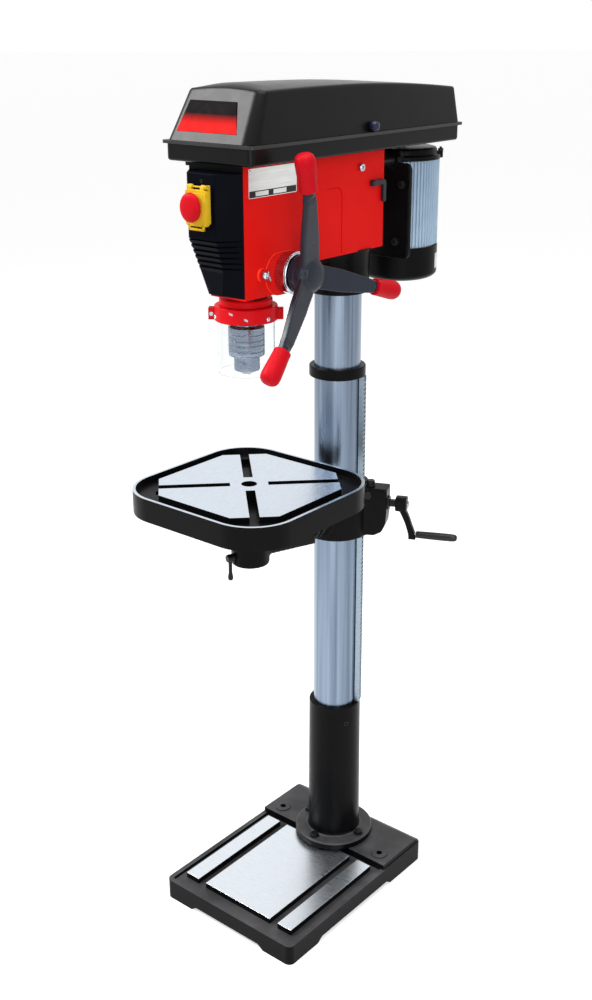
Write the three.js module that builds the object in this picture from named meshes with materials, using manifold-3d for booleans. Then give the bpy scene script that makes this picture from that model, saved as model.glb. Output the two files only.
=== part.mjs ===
import * as THREE from 'three';
import { mergeVertices } from 'three/addons/utils/BufferGeometryUtils.js';
import Module from 'manifold-3d';

// Pillar drill with a square tilting table. Millimetres, +Z up, floor at z = 0, operator in front at -Y.
// While it is built the column axis stands at x = 0, y = 0.

const wasm = await Module();
wasm.setup();

// Sides of round shapes.
const largeSides = 20;
const roundSides = 12;
const smallSides = 6;
const hexSides = 6;
const cornerSteps = 2;

// Clearances shared by many pieces.
const fitGap = 0.3;
const overrun = 5;

// Column.
const columnRadius = 46;
const columnWall = 5;
const columnTopZ = 1480;

// Base casting.
const baseWidth = 352;
const baseLength = 464;
const baseBehindColumn = 98.5;
const baseCornerRadius = 14;
const baseRimZ = 45;
const baseRimWidth = 16;
const baseChannelDepth = 3;
const baseWall = 12;
const basePlateThickness = 9;
const baseRibThickness = 9;
const baseCellRows = 3;
const baseFootHeight = 10;
const baseFrontFootWidth = 74;
const baseSideFrontFootLength = 90;
const baseSideBackFootLength = 118;
const baseArchSlope = 14;
const padHalfWidth = 148;
const padStripWidth = 36;
const padSlotWidth = 21;
const padFrontInset = 35.5;
const padLength = 272;
const padTopZ = 53;
const plateauTopZ = 57;
const plateauInFront = 43;
const plateauBackSlope = 20;
const plateauSideInset = 3;
const mountHoleX = 140;
const mountHoleY = -14;
const mountHoleRadius = 6.5;
const mountBossRadius = 18;
const mountBossHeight = 2.5;

// Column socket and its bolts.
const socketFlangeRadius = 87;
const socketFlangeThickness = 15;
const socketFlangeChamfer = 3;
const socketFootRadius = 60;
const socketFootFillet = 14;
const socketWaistRadius = 57.5;
const socketTopRadius = 55.4;
const socketTopZ = 398;
const boltCircleRadius = 71;
const boltShankRadius = 5;
const boltHeadAcross = 17;
const boltHeadHeight = 6;
const boltWasherRadius = 10.5;
const boltWasherThickness = 2;
const boltTail = 27;
const flangeBolts = 4;

// Rack and collar. The rack faces rackAngle from +X towards +Y.
const rackAngle = 25;
const rackWidth = 20;
const rackDepth = 10.7;
const liftModule = 3;
const liftGearTeeth = 8;
const rackToothTip = 3;
const rackToothRoot = 4.6;
const rackToothDepth = 6.4;
const rackToothAddendum = 3;
const liftToothAddendum = 2.5;
const liftToothDepth = 5.9;
const liftToothRoot = 2.7;
const liftToothTip = 2;
const liftGearWidth = 15;
const liftAxleRadius = 5;
const rackTopZ = 1131;
const collarHeight = 22;
const collarRadius = 56.3;

// Table bracket.
const bracketBottomZ = 796;
const bracketTopZ = 905;
const bracketRadius = 68;
const bracketSlideGap = 0.35;
const rackSlotGap = 0.5;
const gearHousingEnd = 109;
const gearHousingHalfWidth = 22;
const gearHousingBottomZ = 853;
const gearHousingTopZ = 908;
const gearHousingKneeZ = 828;
const gearHousingKneeEnd = 84;
const gearCavityGap = 1;
const tiltAxisZ = 845;
const tiltBossRadius = 40;
const tiltFaceY = -92;
const tiltBoltRadius = 8;
const tiltBoltWall = 8;
const clampLugAngle = 140;
const clampLugReach = 98;
const clampLugHalfWidth = 18;
const clampLugHeight = 60;
const clampSlit = 4;
const clampBoltRadius = 6;
const clampBoltReach = 83;
const clampLeverHubRadius = 11;
const clampLeverHubLength = 14;
const clampLeverLength = 84;
const clampLeverRadius = 5;
const clampLeverKnobRadius = 10;

// Worm shaft and crank.
const crankAxisZ = 867;
const wormRadius = 5;
const wormStart = 59;
const wormEnd = 90;
const wormShaftRadius = 8;
const wormClearance = 0.6;
const crankHubStart = 125;
const crankHubEnd = 148;
const crankHubHalfHeight = 15;
const crankHubHalfWidth = 13;
const crankArmHalfWidth = 7;
const crankArmOuter = 168;
const crankArmInner = 153;
const crankThrow = 65;
const crankGripRadius = 8;
const crankGripEnd = 253;
const crankPinRadius = 4;
const crankPinEndWall = 4;
const crankEndMargin = 10;
const crankCurveShare = 0.2;
const crankGripRoundShare = 0.25;

// Table arm.
const spindleY = -268;
const armHalfWidth = 30;
const armWall = 8;
const armFlangeRadius = 38;
const armFlangeThickness = 14;
const armRootBottomZ = 806;
const armRootTopZ = 882;
const armTipBottomZ = 834;
const armTipTopZ = 892;
const armHubRadius = 37;
const armHubBottomZ = 814;
const armHubTopZ = 904;
const tiltBoltHeadAcross = 24;
const tiltBoltHeadHeight = 10;

// Table casting.
const tableWidth = 362;
const tableCornerRadius = 89;
const tableTopZ = 975;
const tableBottomZ = 930;
const tableRimWidth = 6;
const tableChannelDepth = 12;
const tableFaceHalf = 151;
const tableFaceChamfer = 62;
const tableSlotWidth = 18;
const tableSlotInnerRadius = 36;
const tableSlotOverrun = 6;
const tableHoleRadius = 15;
const tablePlateThickness = 14;
const tableRibThickness = 10;
const tableHubRadius = 56;
const tableHubEndZ = 904.6;
const tableStemRadius = 25;
const tableStemBottomZ = 820;
const tableSkirtWall = 9;
const tableLockAngle = -109;
const tableLockZ = 832;
const tableLockScrewRadius = 5;
const tableLockHubRadius = 8;
const tableLockHubLength = 14;
const tableLockLeverLength = 46;
const tableLockLeverRadius = 4.5;

// Head casting.
const headHalfWidth = 62;
const headFront = 338;
const headBack = 58;
const headBottomZ = 1342;
const headRearBottomZ = 1384;
const headTopZ = 1569;
const headWall = 8;
const headStepFrontY = -200;
const headStepRearY = -140;
const cheekWidth = 44;
const cheekDepth = 52.5;
const cheekHeight = 108;
const headSocketRadius = 60;
const headSocketBottomZ = 1300;
const headColumnBossRadius = 55;
const headColumnBossTopZ = 1486;
const headBarrelRadius = 41;
const headBarrelTopZ = 1450;
const headBridgeBottomZ = 1530;
const headBridgeTopZ = 1562;
const headBridgeHalfLength = 30;
const pinionBossRadius = 25;
const pinionFaceRadius = 38;
const pinionFaceSpan = 22;
const pinionFaceHeight = 1.6;
const idlerWebHalfLength = 14;
const slideBossRadius = 14;
const slideBossLength = 92;

// Quill, spindle and their feed pinion.
const quillRadius = 30;
const quillBore = 15;
const quillBottomZ = 1310;
const quillTopZ = 1515;
const feedModule = 2;
const feedPinionTeeth = 14;
const feedRackToothThickness = 2.2;
const feedRackBottomZ = 1362;
const feedRackTopZ = 1508;
const feedToothDepth = 4.5;
const feedPinionAddendum = 1.8;
const feedToothRoot = 2.3;
const feedToothTip = 1;
const feedPinionHalfWidth = 16;
const pinionZ = 1377;
const pinionLeftRadius = 10;
const pinionDrumRadius = 11;
const pinionEndX = 112;
const springCaseRadius = 30;
const springCaseDepth = 26;
const springCaseWall = 3;
const spindleRadius = 10;
const spindleStubHeight = 6;
const spindleTaperLength = 18;
const spindleNoseRadius = 8;
const spindleNoseTipRadius = 7;
const spindleFlangeRadius = 14.7;
const spindleFlangeThickness = 16;
const spindleSplineFlat = 9.4;

// Chuck.
const chuckSleeveRadius = 33;
const chuckSleeveBottomZ = 1225;
const chuckSleeveTopZ = 1282;
const chuckSleeveChamfer = 4;
const chuckSleeveGroove = 1.2;
const chuckBodyRadius = 25;
const chuckNoseRadius = 23.5;
const chuckShoulderZ = 1199;
const chuckTipZ = 1193;
const chuckTipRadius = 14;
const chuckTopZ = 1290;
const chuckTopRadius = 20;
const chuckThroatRadius = 7;
const chuckThroatTopZ = 1240;
const jawRadius = 3.5;
const jawTilt = 15;
const jawTipZ = 1190;
const jawTipReach = 4.6;
const jawLength = 38;
const jawTravel = 18;
const chuckKeyHoleZ = 1215;
const chuckKeyHoleRadius = 3.5;
const chuckKeyHoleDepth = 6;
const chuckJaws = 3;
const chuckGrooveShares = [0.28, 0.52, 0.76];

// Guard.
const guardClampRadius = 48;
const guardClampBottomZ = 1318;
const guardClampTopZ = 1336;
const guardHolderRadius = 57;
const guardHolderBottomZ = 1291;
const guardHolderLipThickness = 5;
const guardShieldRadius = 52;
const guardShieldWall = 2;
const guardShieldBottomZ = 1195;
const guardTabReach = 67;
const guardTabAngle = 38;
const guardTabHalfWidth = 9;
const guardTabHalfHeight = 11;
const guardTabZ = 1302;

// Feed handle, grips and depth drum.
const drumStartX = 64;
const drumEndX = 88;
const drumRadius = 38;
const drumFlangeRadius = 36;
const drumFlangeLength = 3;
const drumScrewRadius = 3.5;
const drumScrewHeadRadius = 7;
const drumScrewLength = 14;
const drumScrewAngle = 90;
const handleHubRadius = 33;
const handleHubStartX = 88.6;
const handleHubEndX = 120;
const handleCapRadius = 27;
const handleCapHeight = 12;
const handleCapEdgeShare = 0.2;
const handleArmPlaneX = 116;
const handleArmBendX = 142;
const handleArmTipX = 147.5;
const handleArmBendReach = 135;
const handleArmReach = 220;
const handleArmHalfWidth = 21;
const handleArmHalfThickness = 6;
const handleArmNeckShare = 0.53;
const handleArmSteps = 8;
const handleFirstArmAngle = 105;
const handleArms = 3;
const gripSpan = 66;
const gripRadius = 18;
const gripNeckInset = 2.5;
const gripNeckLength = 38;
const gripEndRound = 12;
const gripPinRadius = 6;
const gripPinEndWall = 6;

// Quill lock screw.
const lockLugY = -295;
const lockLugZ = 1382;
const lockLugHalf = 12;
const lockLugReach = 13;
const lockScrewRadius = 4;
const lockScrewHeadRadius = 9;
const lockScrewHeadLength = 16;
const lockScrewStartX = 44;

// Front cover.
const coverTopZ = 1556;
const coverSplayBottomZ = 1446;
const coverRibBottomZ = 1388;
const coverBottomZ = 1345;
const coverFront = 375;
const coverBackHalfWidth = 62;
const coverFrontHalfWidth = 32;
const coverRibs = 6;
const coverRibFront = 353;
const coverRibHalfWidth = 27.5;
const coverTipFront = 343;
const coverTipHalfWidth = 15;
const coverWall = 3;
const coverCheekLap = 2.5;

// Switch.
const switchHalfWidth = 28;
const switchBottomZ = 1470;
const switchTopZ = 1530;
const switchBodyDepth = 5;
const switchBodyInset = 3;
const flapDepth = 9;
const flapWall = 2;
const flapHingeZ = 1534.6;
const flapHingeRadius = 3.2;
const flapPinRadius = 1.4;
const flapEarX = 17;
const flapEarHalfWidth = 4;
const flapHookDrop = 7;
const flapHookHalfWidth = 6;
const mushroomRadius = 24.75;
const mushroomZ = 1501.7;
const mushroomHeight = 11;
const mushroomStandOff = 6;
const mushroomStemRadius = 6;
const mushroomStroke = 3;
const buttonRadius = 6.5;
const buttonProud = 3.5;
const buttonSpacing = 17;

// Belt tray and lid.
const trayHalfWidth = 97.6;
const trayFront = 358;
const trayBack = 258;
const trayCornerRadius = 8;
const trayWall = 3;
const trayLipZ = 1603;
const trayLipWidth = 6;
const trayLipThickness = 4;
const traySpindleHole = 22;
const trayMotorHole = 24;
const trayPivotHole = 14;
const lidHalfFoot = 97;
const lidFootFront = 355;
const lidFootBack = 255;
const lidHalfTop = 84;
const lidShoulderFront = 310;
const lidShoulderZ = 1684;
const lidCrownZ = 1696;
const lidBackDrop = 25;
const lidFallStartY = -50;
const lidWall = 3;
const lidSteps = 7;
const lidCrownShare = 0.55;
const lidHaunchShare = 0.7;
const lidShoulderDropShare = 0.6;
const lidCrownPower = 1.5;
const lidHingeX = 108;
const lidHingeRodRadius = 3;
const lidKnuckleRadius = 5.5;
const lidKnuckleLength = 105;
const lidKnuckleFrontY = -260;
const lidKnuckleBackY = 160;
const knobRadius = 10;
const knobLength = 12;
const knobStemRadius = 4;
const knobY = -30;
const knobZ = 1613.5;
const knobPadHalf = 12;

// Pulleys, idler and belts.
const pulleyBottomZ = 1598;
const pulleyStepHeight = 16;
const pulleySteps = 3;
const pulleyLargeRadius = 48;
const pulleyMiddleRadius = 40;
const pulleySmallRadius = 32;
const pulleyGrooveDepth = 12;
const pulleySleeveRadius = 16;
const idlerY = -72;
const idlerBoreRadius = 8;
const idlerArmThickness = 6;
const idlerArmHalfWidth = 14;
const idlerArmZ = 1582;
const idlerPivotX = -22;
const idlerPivotY = -126;
const idlerPivotRadius = 8;
const idlerPivotBottomZ = 1520;
const beltHeight = 8;
const beltThickness = 6;
const beltSeat = 5.2;
const beltArcSteps = 8;

// Motor, its slide and the belt tension lever.
const motorY = 200;
const motorRadius = 77;
const motorCoreRadius = 72;
const motorFins = 24;
const motorFinShare = 0.42;
const motorFinBottomZ = 1365;
const motorFinTopZ = 1533;
const motorTopZ = 1556;
const motorBellRadius = 78;
const motorBellLap = 1;
const motorBellRound = 5;
const motorBackLugAngle = 60;
const motorFrontLugAngle = 55;
const motorFanBottomZ = 1297;
const motorFanWall = 3;
const motorFanVentRadius = 30;
const motorFanRoundWidth = 29;
const motorFanRoundHeight = 15;
const motorShaftRadius = 9.5;
const motorPulleyBore = 8.5;
const motorShaftBottomZ = 1400;
const motorLugReach = 86;
const motorLugHalfWidth = 8;
const motorLugHeight = 14;
const motorFootHalfWidth = 52;
const motorFootInset = 15;
const slidePlateHalfWidth = 85;
const slidePlateBottomZ = 1372;
const slidePlateTopZ = 1532;
const slidePlateFrontY = 110;
const slidePlateThickness = 10;
const slidePlateCorner = 16;
const slideRodX = 42;
const slideRodZ = 1538;
const slideRodRadius = 9;
const slideRodFrontY = -30;
const slideEarRadius = 15;
const slideLockY = -18;
const slideLockShankRadius = 4;
const slideLockHeadRadius = 7;
const slideLockHeadLength = 8;
const tensionAxisY = 20;
const tensionAxisZ = 1506;
const tensionShaftRadius = 6;
const tensionShaftStartX = -48;
const tensionLeverStartX = 62.5;
const tensionLeverThickness = 8;
const tensionLeverHalfHeight = 6;
const tensionLeverElbowY = 57;
const tensionLeverEndZ = 1469;
const tensionLeverTailWidth = 11;

const deg = Math.PI / 180;
const flangeTopZ = plateauTopZ + socketFlangeThickness;
const baseFrontY = baseBehindColumn - baseLength;
const spindleToRackLine = quillRadius - feedModule;
const feedPinionPitchRadius = feedModule * feedPinionTeeth / 2;
const pinionY = spindleY + spindleToRackLine + feedPinionPitchRadius;
const liftPitchRadius = liftModule * liftGearTeeth / 2;
const rackInner = columnRadius + fitGap;
const rackOuter = rackInner + rackDepth;
const liftGearReach = rackOuter - rackToothAddendum + liftPitchRadius;
const liftGearTip = liftPitchRadius + liftToothAddendum;
const liftGearZ = crankAxisZ + wormRadius + fitGap + liftGearTip;
const tiltFlangeFrontY = tiltFaceY - fitGap - armFlangeThickness;
const switchBackY = -coverFront;
const switchFaceY = switchBackY - switchBodyDepth;
const flapBackY = switchFaceY - fitGap;
const flapFrontY = flapBackY - flapDepth;
const flapHingeY = switchFaceY - flapHingeRadius;
const gripStart = handleArmReach - gripSpan;
const idlerArmTopZ = idlerArmZ + idlerArmThickness;
const pulleyTopZ = pulleyBottomZ + pulleySteps * pulleyStepHeight;
const spindleTopZ = pulleyTopZ + spindleStubHeight;

// Solids: every shape below is a closed three.js geometry, joined and cut as manifolds.

function outward(geometry) {
  const place = geometry.attributes.position;
  const corners = geometry.index.array;
  const [a, b, c] = [new THREE.Vector3(), new THREE.Vector3(), new THREE.Vector3()];
  let volume = 0;
  for (let i = 0; i < corners.length; i += 3) {
    a.fromBufferAttribute(place, corners[i]);
    b.fromBufferAttribute(place, corners[i + 1]);
    c.fromBufferAttribute(place, corners[i + 2]);
    volume += a.dot(b.cross(c));
  }
  if (volume < 0) {
    for (let i = 0; i < corners.length; i += 3) {
      [corners[i], corners[i + 1]] = [corners[i + 1], corners[i]];
    }
  }
  return geometry;
}

function welded(geometry) {
  const bare = geometry.clone();
  bare.deleteAttribute('normal');
  bare.deleteAttribute('uv');
  const merged = mergeVertices(bare);
  const corners = merged.index.array;
  const kept = [];
  for (let i = 0; i < corners.length; i += 3) {
    const [a, b, c] = [corners[i], corners[i + 1], corners[i + 2]];
    if (a !== b && b !== c && c !== a) {
      kept.push(a, b, c);
    }
  }
  merged.setIndex(kept);
  return outward(merged);
}

function toSolid(geometry) {
  const closed = welded(geometry);
  return new wasm.Manifold(new wasm.Mesh({
    numProp: 3,
    vertProperties: new Float32Array(closed.attributes.position.array),
    triVerts: new Uint32Array(closed.index.array),
  }));
}

function toGeometry(solid) {
  const mesh = solid.getMesh();
  const geometry = new THREE.BufferGeometry();
  geometry.setAttribute('position', new THREE.BufferAttribute(mesh.vertProperties, 3));
  geometry.setIndex(new THREE.BufferAttribute(mesh.triVerts, 1));
  return geometry;
}

function join(first, ...others) {
  return toGeometry(others.reduce((sum, other) => sum.add(toSolid(other)), toSolid(first)));
}

function cut(first, ...tools) {
  return toGeometry(tools.reduce((rest, tool) => rest.subtract(toSolid(tool)), toSolid(first)));
}

function common(first, second) {
  return toGeometry(toSolid(first).intersect(toSolid(second)));
}

function block(x0, x1, y0, y1, z0, z1) {
  const box = new THREE.BoxGeometry(x1 - x0, y1 - y0, z1 - z0);
  return box.translate((x0 + x1) / 2, (y0 + y1) / 2, (z0 + z1) / 2);
}

function rod(radius, z0, z1, sides = roundSides) {
  return new THREE.CylinderGeometry(radius, radius, z1 - z0, sides).rotateX(Math.PI / 2)
    .translate(0, 0, (z0 + z1) / 2);
}

// A bore's flats stand at its radius, so a round shaft turns in it without touching.
function eased(radius, sides = roundSides) {
  return radius / Math.cos(Math.PI / sides);
}

function bore(radius, z0, z1, sides = roundSides) {
  return rod(eased(radius, sides), z0, z1, sides);
}

function boreX(radius, x0, x1, sides = roundSides) {
  return rodX(eased(radius, sides), x0, x1, sides);
}

function boreY(radius, y0, y1, sides = roundSides) {
  return rodY(eased(radius, sides), y0, y1, sides);
}

function rodX(radius, x0, x1, sides = roundSides) {
  return rod(radius, x0, x1, sides).rotateY(Math.PI / 2);
}

function rodY(radius, y0, y1, sides = roundSides) {
  return rod(radius, -y1, -y0, sides).rotateX(Math.PI / 2);
}

function turned(profile, sides = roundSides) {
  const points = profile.map(([r, z]) => new THREE.Vector2(r, z));
  return new THREE.LatheGeometry(points, sides).rotateX(Math.PI / 2);
}

function ring(inner, outer, z0, z1, sides = roundSides) {
  const hole = eased(inner, sides);
  return turned([[hole, z0], [outer, z0], [outer, z1], [hole, z1], [hole, z0]], sides);
}

function outline(points) {
  return new THREE.Shape(points.map(([a, b]) => new THREE.Vector2(a, b)));
}

function roundedRect(a0, a1, b0, b1, radius) {
  const shape = new THREE.Shape();
  shape.moveTo(a0 + radius, b0);
  shape.absarc(a1 - radius, b0 + radius, radius, -Math.PI / 2, 0, false);
  shape.absarc(a1 - radius, b1 - radius, radius, 0, Math.PI / 2, false);
  shape.absarc(a0 + radius, b1 - radius, radius, Math.PI / 2, Math.PI, false);
  shape.absarc(a0 + radius, b0 + radius, radius, Math.PI, 1.5 * Math.PI, false);
  return shape;
}

// A prism of an (x, y) outline from z0 to z1.
function plate(shape, z0, z1, steps = 1, curveSegments = cornerSteps) {
  const settings = { depth: z1 - z0, bevelEnabled: false, curveSegments, steps };
  return new THREE.ExtrudeGeometry(shape, settings).translate(0, 0, z0);
}

// A prism of a (y, z) outline from x0 to x1.
function plateX(shape, x0, x1, steps = 1) {
  const turn = new THREE.Matrix4().makeBasis(
    new THREE.Vector3(0, 1, 0), new THREE.Vector3(0, 0, 1), new THREE.Vector3(1, 0, 0));
  return plate(shape, x0, x1, steps).applyMatrix4(turn);
}

// A prism of an (x, z) outline from y0 to y1.
function plateY(shape, y0, y1, steps = 1) {
  return plate(shape, -y1, -y0, steps).rotateX(Math.PI / 2);
}

function around(geometry, degrees) {
  return geometry.rotateZ(degrees * deg);
}

// What one plane cuts off a box: the square corner at (x, y, z) and a point along each of its edges.
function cornerWedge(x, y, z, width, depth, height) {
  const geometry = new THREE.BufferGeometry();
  geometry.setAttribute('position', new THREE.Float32BufferAttribute(
    [x, y, z, x + width, y, z, x, y + depth, z, x, y, z + height], 3));
  geometry.setIndex([0, 2, 1, 0, 1, 3, 0, 3, 2, 1, 2, 3]);
  return geometry;
}

function reshape(geometry, rule) {
  const place = geometry.attributes.position;
  for (let i = 0; i < place.count; i += 1) {
    place.setXYZ(i, ...rule(place.getX(i), place.getY(i), place.getZ(i)));
  }
  return geometry;
}

// Straight-flanked gear teeth round the z axis, the first one on +X.
function toothedWheel(teeth, rootRadius, tipRadius, rootWidth, tipWidth, z0, z1) {
  const points = [];
  for (let i = 0; i < teeth; i += 1) {
    const angle = 2 * Math.PI * i / teeth;
    const rootHalf = Math.asin(rootWidth / 2 / rootRadius);
    const tipHalf = Math.asin(tipWidth / 2 / tipRadius);
    for (const [radius, turn] of [
      [rootRadius, -rootHalf], [tipRadius, -tipHalf], [tipRadius, tipHalf], [rootRadius, rootHalf]]) {
      points.push([radius * Math.cos(angle + turn), radius * Math.sin(angle + turn)]);
    }
  }
  return plate(outline(points), z0, z1);
}

// Finishes.
const finishes = {
  blackPaint: [0x17181c, 0.45, 0.1],
  machined: [0xd9dee4, 0.3, 0.9],
  steel: [0xa9b4c0, 0.28, 0.95],
  darkSteel: [0x3a3d42, 0.45, 0.8],
  redPaint: [0xd7282a, 0.4, 0.05],
  navyPlastic: [0x0c1019, 0.4, 0],
  blackSheet: [0x1b1c1f, 0.4, 0.3],
  yellowPlastic: [0xe8c51c, 0.45, 0],
  redPlastic: [0xd01f27, 0.35, 0],
  greenPlastic: [0x1d8a4a, 0.4, 0],
  clearPlastic: [0xe8eef2, 0.1, 0],
  armPaint: [0x3a4048, 0.4, 0.3],
  rubber: [0x151515, 0.9, 0],
  motorPaint: [0x8d9bb0, 0.45, 0.3],
  aluminium: [0xc3c8ce, 0.4, 0.9],
};

function piece(name, finish, geometry) {
  const [color, roughness, metalness] = finishes[finish];
  geometry.computeVertexNormals();
  const mesh = new THREE.Mesh(geometry, new THREE.MeshStandardMaterial({ color, roughness, metalness }));
  mesh.name = name;
  return mesh;
}

function gather(...children) {
  const group = new THREE.Group();
  group.add(...children);
  return group;
}

// Base: one iron casting, hollow and ribbed below, with machined strips raised on its top.

function basePads() {
  const floor = baseRimZ - baseChannelDepth - basePlateThickness / 2;
  const front = baseFrontY + padFrontInset;
  const back = front + padLength;
  const stripInner = padHalfWidth - padStripWidth;
  const plateHalf = stripInner - padSlotWidth;
  return [
    block(-padHalfWidth, -stripInner, front, back, floor, padTopZ),
    block(-plateHalf, plateHalf, front, back, floor, padTopZ),
    block(stripInner, padHalfWidth, front, back, floor, padTopZ),
  ];
}

function baseUnderside() {
  const top = baseRimZ - baseChannelDepth - basePlateThickness;
  const tools = [];
  const insideWidth = baseWidth - 2 * baseWall;
  const insideLength = baseLength - 2 * baseWall;
  const cellWidth = (insideWidth - baseRibThickness) / 2;
  const cellLength = (insideLength - (baseCellRows - 1) * baseRibThickness) / baseCellRows;
  for (const side of [-1, 1]) {
    for (let row = 0; row < baseCellRows; row += 1) {
      const x = side * (baseRibThickness + cellWidth) / 2;
      const y = baseFrontY + baseWall + cellLength / 2 + row * (cellLength + baseRibThickness);
      tools.push(block(x - cellWidth / 2, x + cellWidth / 2, y - cellLength / 2, y + cellLength / 2,
        -overrun, top));
    }
  }
  const halfWidth = baseWidth / 2;
  const archHalf = halfWidth - baseFrontFootWidth;
  tools.push(plateY(outline([
    [-archHalf, -overrun], [archHalf, -overrun], [archHalf, 0],
    [archHalf - baseArchSlope, baseFootHeight], [baseArchSlope - archHalf, baseFootHeight], [-archHalf, 0]]),
  baseFrontY - overrun, baseBehindColumn + overrun));
  const sideFront = baseFrontY + baseSideFrontFootLength;
  const sideBack = baseBehindColumn - baseSideBackFootLength;
  tools.push(plateX(outline([
    [sideFront, -overrun], [sideBack, -overrun], [sideBack, 0],
    [sideBack - baseArchSlope, baseFootHeight], [sideFront + baseArchSlope, baseFootHeight],
    [sideFront, 0]]), -halfWidth - overrun, halfWidth + overrun));
  return tools;
}

function baseCasting() {
  const halfWidth = baseWidth / 2;
  const edge = () => roundedRect(-halfWidth, halfWidth, baseFrontY, baseBehindColumn, baseCornerRadius);
  const channelFloor = baseRimZ - baseChannelDepth;
  const channel = block(-halfWidth + baseRimWidth, halfWidth - baseRimWidth,
    baseFrontY + baseRimWidth, -plateauInFront, channelFloor, baseRimZ + overrun);
  const plateauBlock = plateX(outline([
    [-plateauInFront, channelFloor - basePlateThickness / 2], [-plateauInFront, plateauTopZ],
    [baseBehindColumn - plateauBackSlope, plateauTopZ], [baseBehindColumn, baseRimZ],
    [baseBehindColumn, channelFloor - basePlateThickness / 2]]),
  plateauSideInset - halfWidth, halfWidth - plateauSideInset);
  const plateau = common(plateauBlock, plate(edge(), 0, plateauTopZ + overrun));
  const body = cut(plate(edge(), 0, baseRimZ), channel, ...baseUnderside());
  const postTop = plateauTopZ + mountBossHeight;
  const posts = [];
  const holes = [];
  for (const side of [-1, 1]) {
    posts.push(rod(mountBossRadius, baseFootHeight, postTop).translate(side * mountHoleX, mountHoleY, 0));
    holes.push(rod(mountHoleRadius, -overrun, postTop + overrun, smallSides)
      .translate(side * mountHoleX, mountHoleY, 0));
  }
  for (let i = 0; i < flangeBolts; i += 1) {
    holes.push(around(bore(boltShankRadius + fitGap, -overrun, plateauTopZ + overrun, smallSides)
      .translate(boltCircleRadius, 0, 0), 360 * i / flangeBolts));
  }
  return piece('base_casting', 'blackPaint', cut(join(body, plateau, ...basePads(), ...posts), ...holes));
}

// Column socket: flanged iron sleeve, bolted to the base.

function columnSocket() {
  const hole = eased(columnRadius + fitGap, largeSides);
  const fillet = [];
  for (let i = 0; i <= cornerSteps; i += 1) {
    const turn = Math.PI / 2 * i / cornerSteps;
    fillet.push([
      socketFootRadius - (socketFootRadius - socketWaistRadius) * Math.sin(turn),
      flangeTopZ + socketFootFillet * (1 - Math.cos(turn))]);
  }
  const body = turned([
    [hole, plateauTopZ], [socketFlangeRadius, plateauTopZ],
    [socketFlangeRadius, flangeTopZ - socketFlangeChamfer],
    [socketFlangeRadius - socketFlangeChamfer, flangeTopZ],
    ...fillet, [socketTopRadius, socketTopZ], [hole, socketTopZ], [hole, plateauTopZ]], largeSides);
  const holes = [];
  for (let i = 0; i < flangeBolts; i += 1) {
    holes.push(around(bore(boltShankRadius + fitGap, plateauTopZ - overrun, flangeTopZ + overrun, smallSides)
      .translate(boltCircleRadius, 0, 0), 360 * i / flangeBolts));
  }
  return piece('column_socket', 'blackPaint', cut(body, ...holes));
}

// Hexagon bolt with its washer, head up, seated at z = 0.
function flangeBolt(number) {
  const bolt = join(
    rod(boltShankRadius, -boltTail - socketFlangeThickness, boltWasherThickness, smallSides),
    rod(boltWasherRadius, 0, boltWasherThickness, roundSides),
    rod(boltHeadAcross / Math.sqrt(3), boltWasherThickness, boltWasherThickness + boltHeadHeight, hexSides));
  const mesh = piece(`flange_bolt_${number + 1}`, 'steel', bolt);
  const turn = 2 * Math.PI * number / flangeBolts;
  mesh.position.set(boltCircleRadius * Math.cos(turn), boltCircleRadius * Math.sin(turn), flangeTopZ);
  mesh.rotation.z = turn;
  return mesh;
}

function columnTube() {
  return piece('column_tube', 'steel',
    ring(columnRadius - columnWall, columnRadius, plateauTopZ, columnTopZ, largeSides));
}

// Rack: a toothed bar that stands loose beside the column, trapped between socket and collar.
// It faces local +X, like the gear, worm and crank that work on it.
function rackBar() {
  const pitch = Math.PI * liftModule;
  const bottom = socketTopZ + fitGap;
  const top = rackTopZ - fitGap;
  const root = rackOuter - rackToothDepth;
  const points = [[rackInner, bottom]];
  const below = Math.floor((liftGearZ - bottom) / pitch - 0.5);
  const above = Math.floor((top - liftGearZ) / pitch - 0.5);
  points.push([root, bottom]);
  for (let i = -below; i <= above; i += 1) {
    const middle = liftGearZ + (i - 0.5) * pitch;
    points.push([root, middle - rackToothRoot / 2], [rackOuter, middle - rackToothTip / 2],
      [rackOuter, middle + rackToothTip / 2], [root, middle + rackToothRoot / 2]);
  }
  points.push([root, top], [rackInner, top]);
  return piece('rack_bar', 'steel', plateY(outline(points), -rackWidth / 2, rackWidth / 2));
}

function rackCollar() {
  return piece('rack_collar', 'blackPaint',
    ring(columnRadius + fitGap, collarRadius, rackTopZ, rackTopZ + collarHeight, largeSides));
}

// Table bracket: iron clamp that slides on the column, with the lift gear housed at its side.

function bracketHousing() {
  const housing = plateY(outline([
    [columnRadius, gearHousingKneeZ], [gearHousingKneeEnd, gearHousingKneeZ],
    [gearHousingEnd, gearHousingBottomZ], [gearHousingEnd, gearHousingTopZ],
    [columnRadius, gearHousingTopZ]]),
  -gearHousingHalfWidth, gearHousingHalfWidth);
  return around(housing, rackAngle);
}

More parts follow.
